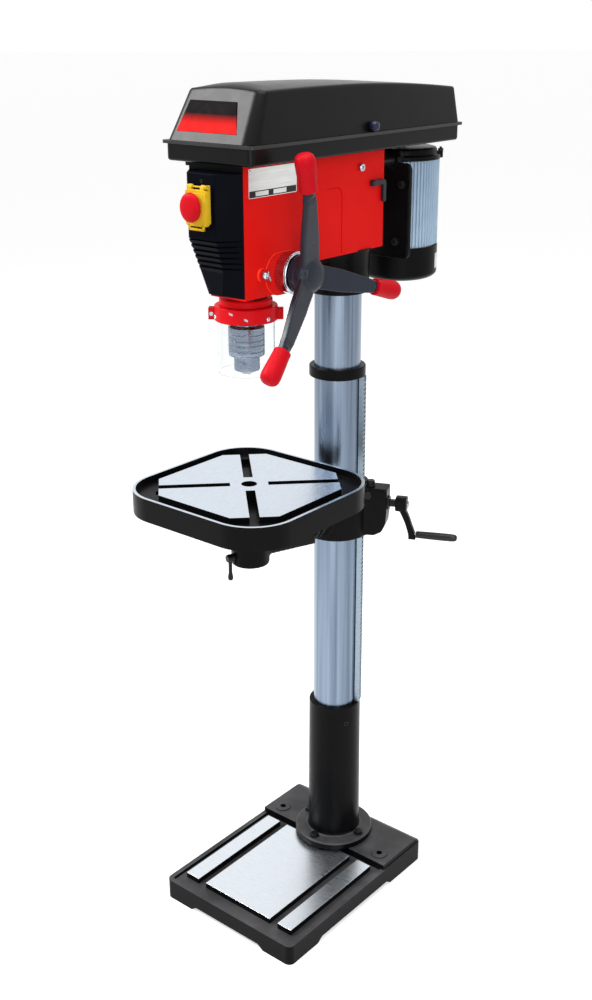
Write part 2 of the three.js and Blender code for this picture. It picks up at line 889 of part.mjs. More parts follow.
function bracketGearCuts() {
  const slotHalf = rackWidth / 2 + rackSlotGap;
  const cavityHalf = liftGearWidth / 2 + gearCavityGap;
  const tools = [
    block(columnRadius - overrun, rackOuter + rackSlotGap, -slotHalf, slotHalf,
      bracketBottomZ - overrun, gearHousingTopZ + overrun),
    boreY(liftGearTip + gearCavityGap, -cavityHalf, cavityHalf).translate(liftGearReach, 0, liftGearZ),
    boreY(liftAxleRadius + fitGap, -gearHousingHalfWidth - overrun, gearHousingHalfWidth + overrun,
      smallSides).translate(liftGearReach, 0, liftGearZ),
    boreX(wormRadius + wormClearance, rackOuter - overrun, wormEnd + fitGap, smallSides)
      .translate(0, 0, crankAxisZ),
    boreX(wormShaftRadius + fitGap, wormEnd, gearHousingEnd + overrun, smallSides)
      .translate(0, 0, crankAxisZ),
  ];
  return tools.map((tool) => around(tool, rackAngle));
}

function bracketLugs() {
  const middle = (bracketBottomZ + bracketTopZ) / 2;
  return around(block(columnRadius, clampLugReach, -clampLugHalfWidth, clampLugHalfWidth,
    middle - clampLugHeight / 2, middle + clampLugHeight / 2), clampLugAngle);
}

function bracketLugCuts() {
  const middle = (bracketBottomZ + bracketTopZ) / 2;
  return [
    around(block(0, clampLugReach + overrun, -clampSlit / 2, clampSlit / 2,
      bracketBottomZ - overrun, bracketTopZ + overrun), clampLugAngle),
    around(boreY(clampBoltRadius + fitGap, -clampLugHalfWidth - overrun, clampLugHalfWidth + overrun,
      smallSides).translate(clampBoltReach, 0, middle), clampLugAngle),
  ];
}

function tableBracket() {
  const body = join(
    rod(bracketRadius, bracketBottomZ, bracketTopZ, largeSides),
    rodY(tiltBossRadius, tiltFaceY, 0, roundSides).translate(0, 0, tiltAxisZ),
    bracketHousing(),
    bracketLugs());
  return piece('table_bracket', 'blackPaint', cut(body,
    bore(columnRadius + bracketSlideGap, bracketBottomZ - overrun, gearHousingTopZ + overrun, largeSides),
    boreY(tiltBoltRadius + fitGap, tiltFaceY - overrun, -columnRadius - tiltBoltWall, smallSides)
      .translate(0, 0, tiltAxisZ),
    ...bracketGearCuts(),
    ...bracketLugCuts()));
}

function liftGear() {
  const wheel = toothedWheel(liftGearTeeth, liftGearTip - liftToothDepth, liftGearTip,
    liftToothRoot, liftToothTip, -liftGearWidth / 2, liftGearWidth / 2);
  const gear = join(wheel, rod(liftAxleRadius, -gearHousingHalfWidth, gearHousingHalfWidth, smallSides));
  const mesh = piece('lift_gear', 'steel', gear);
  mesh.rotation.x = Math.PI / 2;
  mesh.position.set(liftGearReach, 0, liftGearZ);
  return mesh;
}

function wormShaft() {
  const shaft = join(
    rodX(wormRadius, wormStart, wormEnd + overrun, smallSides),
    rodX(wormShaftRadius, wormEnd + fitGap, crankHubStart, smallSides));
  const mesh = piece('worm_shaft', 'darkSteel', shaft);
  mesh.position.z = crankAxisZ;
  return mesh;
}

function crankArm() {
  const shape = new THREE.Shape();
  const gripZ = -crankThrow;
  shape.moveTo(crankHubStart, crankHubHalfHeight);
  shape.lineTo(crankHubEnd, crankHubHalfHeight);
  shape.lineTo(crankHubEnd, 0);
  shape.quadraticCurveTo(crankArmOuter, gripZ * crankCurveShare, crankArmOuter, gripZ + crankEndMargin);
  shape.lineTo(crankArmOuter, gripZ - crankEndMargin);
  shape.lineTo(crankArmInner, gripZ - crankEndMargin);
  shape.quadraticCurveTo(crankArmInner, -crankHubHalfHeight, crankHubStart, -crankHubHalfHeight);
  const arm = join(
    plateY(shape, -crankArmHalfWidth, crankArmHalfWidth),
    block(crankHubStart, crankHubEnd, -crankHubHalfWidth, crankHubHalfWidth,
      -crankHubHalfHeight, crankHubHalfHeight),
    rodX(crankPinRadius, crankArmInner, crankGripEnd - crankPinEndWall - fitGap, smallSides)
      .translate(0, 0, gripZ));
  const mesh = piece('crank_arm', 'blackPaint', arm);
  mesh.position.z = crankAxisZ;
  return mesh;
}

function crankGrip() {
  const start = crankArmOuter + fitGap;
  const sides = 2 * smallSides;
  const hole = eased(crankPinRadius + fitGap, sides);
  const shoulder = crankGripRadius * crankGripRoundShare;
  const grip = turned([
    [hole, start], [crankGripRadius - shoulder, start], [crankGripRadius, start + shoulder],
    [crankGripRadius, crankGripEnd - shoulder], [crankGripRadius - shoulder, crankGripEnd],
    [0, crankGripEnd], [0, crankGripEnd - crankPinEndWall], [hole, crankGripEnd - crankPinEndWall],
    [hole, start]], sides);
  const mesh = piece('crank_grip', 'blackPaint', grip);
  mesh.rotation.y = Math.PI / 2;
  mesh.position.z = crankAxisZ - crankThrow;
  return mesh;
}

function columnClampLever() {
  const hubStart = clampLugHalfWidth + fitGap;
  const leverY = hubStart + clampLeverHubLength / 2;
  const lever = join(
    rodY(clampBoltRadius, -clampLugHalfWidth, hubStart + clampLeverHubLength, smallSides),
    rodY(clampLeverHubRadius, hubStart, hubStart + clampLeverHubLength, roundSides),
    rodX(clampLeverRadius, 0, clampLeverLength, smallSides).translate(0, leverY, 0),
    new THREE.SphereGeometry(clampLeverKnobRadius, smallSides, smallSides).rotateX(Math.PI / 2)
      .translate(clampLeverLength, leverY, 0));
  const mesh = piece('column_clamp_lever', 'darkSteel', lever);
  const turn = clampLugAngle * deg;
  mesh.position.set(clampBoltReach * Math.cos(turn), clampBoltReach * Math.sin(turn),
    (bracketBottomZ + bracketTopZ) / 2);
  mesh.rotation.z = turn;
  return mesh;
}

// Table arm: channel-section casting that tilts about the bracket's front face.

function tableArm() {
  const flangeBack = tiltFaceY - fitGap;
  const flangeFront = tiltFlangeFrontY;
  const beam = plateX(outline([
    [flangeFront + armWall, armRootBottomZ], [flangeFront + armWall, armRootTopZ],
    [spindleY, armTipTopZ], [spindleY, armTipBottomZ]]), -armHalfWidth, armHalfWidth);
  const under = plateX(outline([
    [flangeFront, armRootBottomZ - overrun], [flangeFront, armRootTopZ - armWall],
    [spindleY, armTipTopZ - armWall], [spindleY, armTipBottomZ - 3 * overrun]]),
  armWall - armHalfWidth, armHalfWidth - armWall);
  const hub = rod(armHubRadius, armHubBottomZ, armHubTopZ, roundSides).translate(0, spindleY, 0);
  const flange = rodY(armFlangeRadius, flangeFront, flangeBack, roundSides).translate(0, 0, tiltAxisZ);
  const lockHole = around(boreX(tableLockScrewRadius + fitGap, 0, armHubRadius + overrun, smallSides),
    tableLockAngle).translate(0, spindleY, tableLockZ);
  return piece('table_arm', 'blackPaint', cut(join(cut(beam, under), hub, flange),
    bore(tableStemRadius + fitGap, armHubBottomZ - overrun, armHubTopZ + overrun, roundSides)
      .translate(0, spindleY, 0),
    boreY(tiltBoltRadius + fitGap, flangeFront - overrun, flangeBack + overrun, smallSides)
      .translate(0, 0, tiltAxisZ),
    lockHole));
}

function tiltBolt() {
  const start = tiltFlangeFrontY - tiltBoltHeadHeight;
  const bolt = join(
    rodY(tiltBoltRadius, start, -columnRadius - tiltBoltWall - fitGap, smallSides),
    rodY(tiltBoltHeadAcross / Math.sqrt(3), start, tiltFlangeFrontY, hexSides));
  const mesh = piece('tilt_bolt', 'darkSteel', bolt);
  mesh.position.z = tiltAxisZ;
  return mesh;
}

// Table: iron casting with a machined octagon, four diagonal slots and a drained rim. Its axis is local z.

function tableUnderside() {
  const inner = tableWidth / 2 - tableSkirtWall;
  const radius = tableCornerRadius - tableSkirtWall;
  const top = tableTopZ - tablePlateThickness - tableChannelDepth / 2;
  const well = plate(roundedRect(-inner, inner, -inner, inner, radius), tableBottomZ - overrun, top);
  const ribHalf = tableRibThickness / 2;
  const ribs = [
    block(-inner - overrun, inner + overrun, -ribHalf, ribHalf, tableBottomZ, tableTopZ),
    block(-ribHalf, ribHalf, -inner - overrun, inner + overrun, tableBottomZ, tableTopZ),
    rod(tableHubRadius, tableBottomZ - 2 * overrun, tableTopZ, roundSides)];
  return cut(well, ...ribs);
}

function tableCasting() {
  const half = tableWidth / 2;
  const inner = half - tableRimWidth;
  const slab = plate(roundedRect(-half, half, -half, half, tableCornerRadius), tableBottomZ, tableTopZ);
  const near = tableFaceHalf - tableFaceChamfer;
  const octagon = plate(outline([
    [-near, -tableFaceHalf], [near, -tableFaceHalf], [tableFaceHalf, -near], [tableFaceHalf, near],
    [near, tableFaceHalf], [-near, tableFaceHalf], [-tableFaceHalf, near], [-tableFaceHalf, -near]]),
  tableBottomZ, tableTopZ + overrun);
  const channel = cut(plate(roundedRect(-inner, inner, -inner, inner, tableCornerRadius - tableRimWidth),
    tableTopZ - tableChannelDepth, tableTopZ + overrun), octagon);
  const slotEnd = (tableFaceHalf + near) / Math.SQRT2 + tableSlotOverrun;
  const slots = [];
  for (const turn of [45, 135, 225, 315]) {
    slots.push(around(block(tableSlotInnerRadius + tableSlotWidth / 2, slotEnd,
      -tableSlotWidth / 2, tableSlotWidth / 2, tableBottomZ - overrun, tableTopZ + overrun), turn));
    slots.push(around(rod(tableSlotWidth / 2, tableBottomZ - overrun, tableTopZ + overrun, smallSides)
      .translate(tableSlotInnerRadius + tableSlotWidth / 2, 0, 0), turn));
  }
  const stem = join(
    rod(armHubRadius, tableHubEndZ, tableTopZ - tablePlateThickness, roundSides),
    rod(tableStemRadius, tableStemBottomZ, tableTopZ - tablePlateThickness, roundSides));
  const table = cut(join(cut(slab, channel, tableUnderside()), stem),
    ...slots.map((slot) => common(slot, rod(2 * tableWidth, tableTopZ - tablePlateThickness
      - tableChannelDepth, tableTopZ + overrun, smallSides))),
    rod(tableHoleRadius, tableStemBottomZ - overrun, tableTopZ + overrun, roundSides));
  return piece('table_casting', 'blackPaint', table);
}

// Lock lever: its screw points at the table stem along local +X.
function tableLockLever() {
  const start = tableStemRadius + fitGap;
  const hubStart = armHubRadius + fitGap;
  const leverX = hubStart + tableLockHubLength / 2;
  const lever = join(
    rodX(tableLockScrewRadius, start, hubStart + tableLockHubLength, smallSides),
    rodX(tableLockHubRadius, hubStart, hubStart + tableLockHubLength, smallSides),
    rod(tableLockLeverRadius, -tableLockLeverLength, 0, smallSides).translate(leverX, 0, 0));
  const mesh = piece('table_lock_lever', 'darkSteel', lever);
  mesh.rotation.z = tableLockAngle * deg;
  mesh.position.z = tableLockZ;
  return mesh;
}

// Head: hollow iron casting that carries quill, feed, drive and motor.

function headProfile(inset) {
  const top = headTopZ + (inset ? overrun : 0);
  return outline([
    [-headFront + inset, headBottomZ + inset], [headStepFrontY, headBottomZ + inset],
    [headStepRearY, headRearBottomZ + inset], [headBack - inset, headRearBottomZ + inset],
    [headBack - inset, top], [-headFront + inset, top]]);
}

// A slanting plane takes off the nose's lower left corner. Depth moves that plane into the casting.
function noseCheek(depth) {
  const over = coverFront - headFront + overrun;
  const steepness = Math.hypot(1 / cheekWidth, 1 / cheekDepth, 1 / cheekHeight);
  const size = 1 + depth * steepness + over * (1 / cheekWidth + 1 / cheekDepth + 1 / cheekHeight);
  return cornerWedge(-headHalfWidth - over, -headFront - over, headBottomZ - over, cheekWidth * size,
    cheekDepth * size, cheekHeight * size);
}

function headInside() {
  const half = headHalfWidth - headWall;
  const webs = [
    rod(headColumnBossRadius, headBottomZ, headColumnBossTopZ, largeSides),
    rod(headBarrelRadius, headBottomZ, headBarrelTopZ, largeSides).translate(0, spindleY, 0),
    rodX(pinionBossRadius, -headHalfWidth, headHalfWidth).translate(0, pinionY, pinionZ),
    block(-headHalfWidth, headHalfWidth, spindleY - headBridgeHalfLength, spindleY + headBridgeHalfLength,
      headBridgeBottomZ, headBridgeTopZ),
    block(-headHalfWidth, headHalfWidth, idlerPivotY - idlerWebHalfLength, idlerPivotY + idlerWebHalfLength,
      idlerPivotBottomZ - overrun, headBridgeTopZ),
  ];
  for (const side of [-1, 1]) {
    webs.push(rodY(slideBossRadius, headBack - slideBossLength, headBack, smallSides)
      .translate(side * slideRodX, 0, slideRodZ));
  }
  return cut(plateX(headProfile(headWall), -half, half), noseCheek(headWall), ...webs);
}

function headOutside() {
  const pinionFace = rodX(pinionFaceRadius, 0, headHalfWidth + pinionFaceHeight)
    .translate(0, pinionY, pinionZ);
  const lockFace = pinionFace.clone().translate(0, -pinionFaceSpan, 0);
  const faceBridge = block(0, headHalfWidth + pinionFaceHeight, pinionY - pinionFaceSpan, pinionY,
    pinionZ - pinionFaceRadius, pinionZ + pinionFaceRadius);
  const lug = block(headHalfWidth - headWall, headHalfWidth + lockLugReach, lockLugY - lockLugHalf,
    lockLugY + lockLugHalf, lockLugZ - lockLugHalf, lockLugZ + lockLugHalf);
  return join(cut(plateX(headProfile(0), -headHalfWidth, headHalfWidth), noseCheek(0)),
    rod(headSocketRadius, headSocketBottomZ, headRearBottomZ + overrun, largeSides),
    cut(join(pinionFace, lockFace, faceBridge),
      block(0, headHalfWidth - headWall, -headFront, headBack, headSocketBottomZ, headTopZ)),
    lug);
}

function headBores() {
  const half = headHalfWidth + pinionFaceHeight + overrun;
  const tools = [
    bore(columnRadius + fitGap, headSocketBottomZ - overrun, headColumnBossTopZ + overrun, largeSides),
    bore(quillRadius + fitGap, headBottomZ - overrun, headBarrelTopZ + overrun, largeSides)
      .translate(0, spindleY, 0),
    bore(pulleySleeveRadius + fitGap, headBridgeBottomZ - overrun, headBridgeTopZ + overrun)
      .translate(0, spindleY, 0),
    boreX(feedPinionPitchRadius + feedModule + fitGap, -feedPinionHalfWidth - fitGap, half)
      .translate(0, pinionY, pinionZ),
    boreX(pinionLeftRadius + fitGap, -half, 0).translate(0, pinionY, pinionZ),
    bore(idlerPivotRadius + fitGap, idlerPivotBottomZ - fitGap, headBridgeTopZ + overrun, smallSides)
      .translate(idlerPivotX, idlerPivotY, 0),
    boreX(lockScrewRadius + fitGap, lockScrewStartX - overrun, headHalfWidth + lockLugReach + overrun,
      smallSides).translate(0, lockLugY, lockLugZ),
    boreX(slideLockShankRadius + fitGap, slideRodX, headHalfWidth + overrun, smallSides)
      .translate(0, slideLockY, slideRodZ),
    boreX(tensionShaftRadius + fitGap, tensionShaftStartX, headHalfWidth + overrun, smallSides)
      .translate(0, tensionAxisY, tensionAxisZ),
  ];
  for (const side of [-1, 1]) {
    tools.push(boreY(slideRodRadius + fitGap, headBack - slideBossLength - overrun, headBack + overrun)
      .translate(side * slideRodX, 0, slideRodZ));
  }
  return tools;
}

function headCasting() {
  return piece('head_casting', 'redPaint', cut(headOutside(), headInside(), ...headBores()));
}

// Front cover: folded shell that closes the nose of the head. Half outline: back corner, front corner.

function coverSlice(frontY, frontHalf, backHalf, z0, z1) {
  const shape = outline([[-backHalf, -headFront], [-frontHalf, -frontY], [frontHalf, -frontY],
    [backHalf, -headFront]]);
  return plate(shape, z0, z1);
}

function frontCover() {
  const parts = [
    coverSlice(coverFront, coverFrontHalfWidth, coverBackHalfWidth, coverSplayBottomZ, coverTopZ)];
  const ribHeight = (coverSplayBottomZ - coverRibBottomZ) / coverRibs;
  for (let i = 0; i < coverRibs; i += 1) {
    const share = (i + 1) / coverRibs;
    const front = coverFront + (coverRibFront - coverFront) * share;
    const half = coverFrontHalfWidth + (coverRibHalfWidth - coverFrontHalfWidth) * share;
    const top = coverSplayBottomZ - i * ribHeight;
    parts.push(coverSlice(front, half, coverBackHalfWidth, top - ribHeight, top + fitGap));
  }
  const narrowing = coverTipHalfWidth / coverRibHalfWidth;
  const tip = coverSlice(coverRibFront, coverRibHalfWidth, coverBackHalfWidth, coverBottomZ,
    coverRibBottomZ + fitGap);
  parts.push(reshape(tip, (x, y, z) => {
    if (z > coverRibBottomZ || y === -headFront) {
      return [x, y, z];
    }
    return [x * narrowing, -coverTipFront, z];
  }));
  const inside = coverSlice(coverFront - coverWall, coverFrontHalfWidth - coverWall,
    coverBackHalfWidth - 2 * coverWall, coverSplayBottomZ + coverWall, coverTopZ - coverWall);
  const opened = join(inside, block(coverWall * 2 - coverBackHalfWidth, coverBackHalfWidth - coverWall * 2,
    -headFront - fitGap, -headFront + overrun, coverSplayBottomZ + coverWall, coverTopZ - coverWall));
  return piece('front_cover', 'navyPlastic', cut(join(...parts), opened, noseCheek(-coverCheekLap)));
}

// Switch: housing on the cover, two push buttons, and a hinged flap with a mushroom stop button.

function switchHousing() {
  const half = switchHalfWidth - switchBodyInset;
  const body = plateY(roundedRect(-half, half, switchBottomZ + switchBodyInset, switchTopZ - switchBodyInset,
    switchBodyInset), switchFaceY, switchBackY - fitGap);
  const earInner = flapEarX + flapEarHalfWidth + fitGap;
  const ears = [];
  for (const side of [-1, 1]) {
    const x0 = side > 0 ? earInner : -half;
    const x1 = side > 0 ? half : -earInner;
    ears.push(block(x0, x1, switchFaceY, switchBackY - fitGap, switchTopZ - 2 * switchBodyInset,
      flapHingeZ + flapHingeRadius));
    ears.push(block(x0, x1, flapHingeY, switchFaceY, flapHingeZ - flapHingeRadius,
      flapHingeZ + flapHingeRadius));
    ears.push(rodX(flapHingeRadius, x0, x1, smallSides).translate(0, flapHingeY, flapHingeZ));
  }
  const pin = rodX(flapPinRadius, -half, half, smallSides).translate(0, flapHingeY, flapHingeZ);
  const holes = [0, -buttonSpacing].map((x) => rodY(buttonRadius + fitGap,
    switchFaceY - overrun, switchBackY + overrun, smallSides).translate(x, 0, mushroomZ));
  return piece('switch_housing', 'yellowPlastic', cut(join(body, ...ears, pin), ...holes));
}

function switchFlap() {
  const shell = plateY(roundedRect(-switchHalfWidth, switchHalfWidth, switchBottomZ, switchTopZ,
    2 * flapWall), flapFrontY, flapBackY);
  const inside = plateY(roundedRect(flapWall - switchHalfWidth, switchHalfWidth - flapWall,
    switchBottomZ + flapWall, switchTopZ - flapWall, flapWall), flapFrontY + flapWall, flapBackY + overrun);
  const knuckles = [];
  for (const side of [-1, 1]) {
    const middle = side * flapEarX;
    knuckles.push(rodX(flapHingeRadius, middle - flapEarHalfWidth, middle + flapEarHalfWidth, smallSides)
      .translate(0, flapHingeY, flapHingeZ));
    knuckles.push(block(middle - flapEarHalfWidth, middle + flapEarHalfWidth,
      flapFrontY + flapWall, flapHingeY, switchTopZ - flapWall, flapHingeZ));
  }
  const hook = block(-flapHookHalfWidth, flapHookHalfWidth, flapFrontY, flapFrontY + 2 * flapWall,
    switchBottomZ - flapHookDrop, switchBottomZ + flapWall);
  return piece('switch_flap', 'yellowPlastic', cut(join(cut(shell, inside), ...knuckles, hook),
    boreX(flapPinRadius + fitGap, -switchHalfWidth, switchHalfWidth, smallSides)
      .translate(0, flapHingeY, flapHingeZ),
    boreY(mushroomStemRadius + fitGap, flapFrontY - overrun, flapFrontY + 2 * flapWall, smallSides)
      .translate(0, 0, mushroomZ)));
}

// Mushroom with its stem, pushed along +Y. Local z points back to the operator.
function stopButton() {
  const base = mushroomStandOff;
  const top = base + mushroomHeight;
  const edge = mushroomHeight / 3;
  const stemLength = flapDepth - buttonProud - fitGap;
  const head = turned([
    [0, -stemLength], [mushroomStemRadius, -stemLength], [mushroomStemRadius, base],
    [mushroomRadius - edge / 2, base], [mushroomRadius, base + edge / 2],
    [mushroomRadius, top - edge], [mushroomRadius - edge, top - edge / 4], [mushroomRadius / 2, top],
    [0, top]], roundSides);
  const mesh = piece('stop_button', 'redPlastic', head);
  mesh.rotation.x = Math.PI / 2;
  mesh.position.set(0, flapFrontY, mushroomZ);
  return mesh;
}

function pushButton(name, finish, x) {
  const back = switchBackY - mushroomStroke - 2 * fitGap;
  const button = rodY(buttonRadius, switchFaceY - buttonProud, back, smallSides);
  const mesh = piece(name, finish, button);
  mesh.position.set(x, 0, mushroomZ);
  return mesh;
}

// Belt tray and lid: pressed steel, with the lid hinged along its left edge.

function rimOutline(halfWidth, frontY, backY, radius) {
  return roundedRect(-halfWidth, halfWidth, frontY, backY, radius);
}

function lidKnuckles(first) {
  const count = Math.floor((lidKnuckleBackY - lidKnuckleFrontY) / lidKnuckleLength);
  const places = [];
  for (let i = first; i < count; i += 2) {
    const y = lidKnuckleFrontY + i * lidKnuckleLength;
    places.push([y + fitGap / 2, y + lidKnuckleLength - fitGap / 2]);
  }
  return places;
}

function hingeBore() {
  return boreY(lidHingeRodRadius + fitGap, lidKnuckleFrontY - overrun, lidKnuckleBackY + overrun, smallSides)
    .translate(-lidHingeX, 0, trayLipZ);
}

function beltTray() {
  const pan = plate(rimOutline(trayHalfWidth, -trayFront, trayBack, trayCornerRadius), headTopZ, trayLipZ);
  const well = plate(rimOutline(trayHalfWidth - trayWall, trayWall - trayFront, trayBack - trayWall,
    trayCornerRadius - trayWall), headTopZ + trayWall, trayLipZ + overrun);
  const lip = cut(
    plate(rimOutline(trayHalfWidth + trayLipWidth, -trayFront - trayWall, trayBack + trayWall,
      trayCornerRadius + trayLipWidth), trayLipZ - trayLipThickness, trayLipZ),
    plate(rimOutline(trayHalfWidth - trayWall / 2, trayWall / 2 - trayFront, trayBack - trayWall / 2,
      trayCornerRadius - trayWall / 2), trayLipZ - 2 * trayLipThickness, trayLipZ + overrun));
  const knuckles = lidKnuckles(0).map(([y0, y1]) => join(
    rodY(lidKnuckleRadius, y0, y1, smallSides).translate(-lidHingeX, 0, trayLipZ),
    block(-lidHingeX, -trayHalfWidth - trayLipWidth / 2, y0, y1, trayLipZ - trayLipThickness, trayLipZ)));
  const gaps = lidKnuckles(1).map(([y0, y1]) => boreY(lidKnuckleRadius + fitGap, y0 - fitGap, y1 + fitGap,
    smallSides).translate(-lidHingeX, 0, trayLipZ));
  const slotHalf = trayMotorHole;
  const pivotHole = rod(trayPivotHole, headTopZ - overrun, headTopZ + 2 * trayWall, smallSides)
    .translate(idlerPivotX, idlerPivotY, 0);
  const tray = cut(join(cut(pan, well), lip, ...knuckles), hingeBore(), ...gaps, pivotHole,
    rod(traySpindleHole, headTopZ - overrun, headTopZ + 2 * trayWall).translate(0, spindleY, 0),
    rod(slotHalf, headTopZ - overrun, headTopZ + 2 * trayWall).translate(0, motorY, 0),
    block(-slotHalf, slotHalf, motorY - slotHalf, motorY, headTopZ - overrun, headTopZ + 2 * trayWall));
  return piece('belt_tray', 'blackSheet', tray);
}

// Lid section at y: half width and height change along the lid, the crown stays a low arch.
function lidShell(inset) {
  const foot = trayLipZ + fitGap - (inset ? overrun : 0);
  const front = -lidFootFront + inset;
  const back = lidFootBack - inset;
  const levels = [[1, 0], [1, 1], [lidCrownShare, 2], [0, 3], [-lidCrownShare, 2], [-1, 1], [-1, 0]];
  const shape = outline(levels.map(([x, level]) => [x, level]));
  const body = plateY(shape, 0, 1, lidSteps);
  const half = (level) => (level ? lidHalfTop : lidHalfFoot) - inset;
  const shoulderAt = (y) => {
    const fall = Math.max(0, (y - lidFallStartY) / (lidFootBack - lidFallStartY));
    return lidShoulderZ - inset - lidBackDrop * lidShoulderDropShare * fall;
  };
  const crownAt = (y) => {
    const run = (y + lidShoulderFront) / (lidFootBack + lidShoulderFront);
    return lidCrownZ - inset - lidBackDrop * Math.max(0, run) ** lidCrownPower;
  };
  const slope = (lidFootFront - lidShoulderFront) / (lidShoulderZ - trayLipZ);
  return reshape(body, (x, along, level) => {
    const y = front + (back - front) * along;
    const step = Math.round(level);
    const lean = along < 0.5 / lidSteps ? 1 : 0;
    const shoulder = shoulderAt(y);
    const rise = step > 1 ? (crownAt(y) - shoulder) * (step === 3 ? 1 : lidHaunchShare) : 0;
    const z = step === 0 ? foot : shoulder + Math.max(0, rise);
    const frontShift = lean * (z - foot) * slope;
    return [x * half(step), y + frontShift, z];
  });
}

function beltLid() {
  const knuckles = lidKnuckles(1).map(([y0, y1]) => join(
    rodY(lidKnuckleRadius, y0, y1, smallSides).translate(-lidHingeX, 0, trayLipZ),
    block(-lidHingeX, lidWall - lidHalfFoot, y0, y1, trayLipZ + fitGap, trayLipZ + lidKnuckleRadius)));
  const gaps = lidKnuckles(0).map(([y0, y1]) => boreY(lidKnuckleRadius + fitGap, y0 - fitGap, y1 + fitGap,
    smallSides).translate(-lidHingeX, 0, trayLipZ));
  const pad = block(lidHalfTop, lidHalfFoot + lidWall, knobY - knobPadHalf, knobY + knobPadHalf,
    knobZ - knobPadHalf / 2, knobZ + knobPadHalf / 2);
  const hole = boreX(knobStemRadius + fitGap, lidHalfTop - overrun, lidHalfFoot + 2 * overrun, smallSides)
    .translate(0, knobY, knobZ);
  return piece('belt_lid', 'blackSheet',
    cut(join(cut(lidShell(0), lidShell(lidWall)), pad, ...knuckles), hingeBore(), ...gaps, hole));
}

function lidHingeRod() {
  const mesh = piece('lid_hinge_rod', 'steel',
    rodY(lidHingeRodRadius, lidKnuckleFrontY - lidHingeRodRadius, lidKnuckleBackY + lidHingeRodRadius,
      smallSides));
  mesh.position.set(-lidHingeX, 0, trayLipZ);
  return mesh;
}

function lidKnob() {
  const start = lidHalfFoot + lidWall + fitGap;
  const knob = join(
    rodX(knobRadius, start, start + knobLength, 2 * smallSides),
    rodX(knobStemRadius, lidHalfTop - overrun, start + knobLength / 2, smallSides));
  const mesh = piece('lid_knob', 'navyPlastic', knob);
  mesh.position.set(0, knobY, knobZ);
  return mesh;
}

// Quill and spindle, on the spindle axis.

function quill() {
  const tools = [];
  const pitch = Math.PI * feedModule;
  const gap = pitch - feedRackToothThickness;
  const below = Math.floor((pinionZ - feedRackBottomZ) / pitch);
  const above = Math.floor((feedRackTopZ - pinionZ) / pitch);
  for (let i = -below; i <= above; i += 1) {
    const z = pinionZ + i * pitch;
    tools.push(block(-quillRadius, quillRadius, quillRadius - feedToothDepth, quillRadius + overrun,
      z - gap / 2, z + gap / 2));
  }
  return piece('quill', 'steel', cut(ring(quillBore, quillRadius, quillBottomZ, quillTopZ), ...tools));
}

function spindle() {
  const nose = chuckTopZ - spindleTaperLength;
  const shaft = turned([
    [0, nose], [spindleNoseTipRadius, nose], [spindleNoseRadius, chuckTopZ],
    [spindleNoseRadius, quillBottomZ - spindleFlangeThickness], [spindleRadius, quillBottomZ],
    [spindleFlangeRadius, quillBottomZ], [spindleFlangeRadius, quillBottomZ + spindleFlangeThickness],
    [spindleRadius, quillBottomZ + spindleFlangeThickness],
    [spindleRadius, quillTopZ - spindleFlangeThickness],
    [spindleFlangeRadius, quillTopZ - spindleFlangeThickness],
    [spindleFlangeRadius, quillTopZ], [spindleSplineFlat, quillTopZ], [spindleSplineFlat, spindleTopZ],
    [0, spindleTopZ]], roundSides);
  return piece('spindle', 'steel', shaft);
}

// Chuck: body on the taper, knurled sleeve turned by a key, three jaws in sloping bores.

function jawRod(radius, below, above) {
  return rod(radius, -below, jawLength + above, smallSides).rotateY(jawTilt * deg)
    .translate(jawTipReach, 0, jawTipZ);
}

function chuckBody() {
  const body = turned([
    [0, chuckTipZ], [chuckTipRadius, chuckTipZ], [chuckNoseRadius, chuckShoulderZ],
    [chuckNoseRadius, chuckSleeveBottomZ], [chuckBodyRadius, chuckSleeveBottomZ],
    [chuckBodyRadius, chuckSleeveTopZ], [chuckTopRadius, chuckTopZ], [0, chuckTopZ]], largeSides);
  const noseDepth = spindleTaperLength + fitGap;
  const tools = [
    rod(chuckThroatRadius, chuckTipZ - overrun, chuckThroatTopZ, smallSides),
    bore(spindleNoseRadius + fitGap, chuckTopZ - noseDepth, chuckTopZ + overrun, roundSides),
  ];
  for (let i = 0; i < chuckJaws; i += 1) {
    tools.push(around(jawRod(jawRadius + fitGap, 2 * overrun, jawTravel + fitGap), 360 * i / chuckJaws));
    tools.push(around(rodX(chuckKeyHoleRadius, chuckNoseRadius - chuckKeyHoleDepth, chuckNoseRadius + overrun,
      smallSides).translate(0, 0, chuckKeyHoleZ), 360 * (i + 0.5) / chuckJaws));
  }
  return piece('chuck_body', 'steel', cut(body, ...tools));
}

function chuckSleeve() {
  const chamfer = chuckSleeveChamfer;
  const wall = [];
  const height = chuckSleeveTopZ - chuckSleeveBottomZ;
  const hole = eased(chuckBodyRadius + fitGap, largeSides);
  for (const share of chuckGrooveShares) {
    const z = chuckSleeveBottomZ + height * share;
    wall.push([chuckSleeveRadius, z - chuckSleeveGroove], [chuckSleeveRadius - chuckSleeveGroove, z],
      [chuckSleeveRadius, z + chuckSleeveGroove]);
  }
  const sleeve = turned([
    [hole, chuckSleeveBottomZ], [chuckSleeveRadius - chamfer, chuckSleeveBottomZ],
    [chuckSleeveRadius, chuckSleeveBottomZ + chamfer], ...wall,
    [chuckSleeveRadius, chuckSleeveTopZ - chamfer],
    [chuckSleeveRadius - chamfer, chuckSleeveTopZ], [hole, chuckSleeveTopZ],
    [hole, chuckSleeveBottomZ]], largeSides);
  return piece('chuck_sleeve', 'steel', sleeve);
}

function chuckJaw(number) {
  const mesh = piece(`chuck_jaw_${number + 1}`, 'darkSteel', jawRod(jawRadius, 0, 0));
  mesh.rotation.z = 2 * Math.PI * number / chuckJaws;
  return mesh;
}

// Guard: clamp ring on the quill, holder band that turns on it, clear tube below.

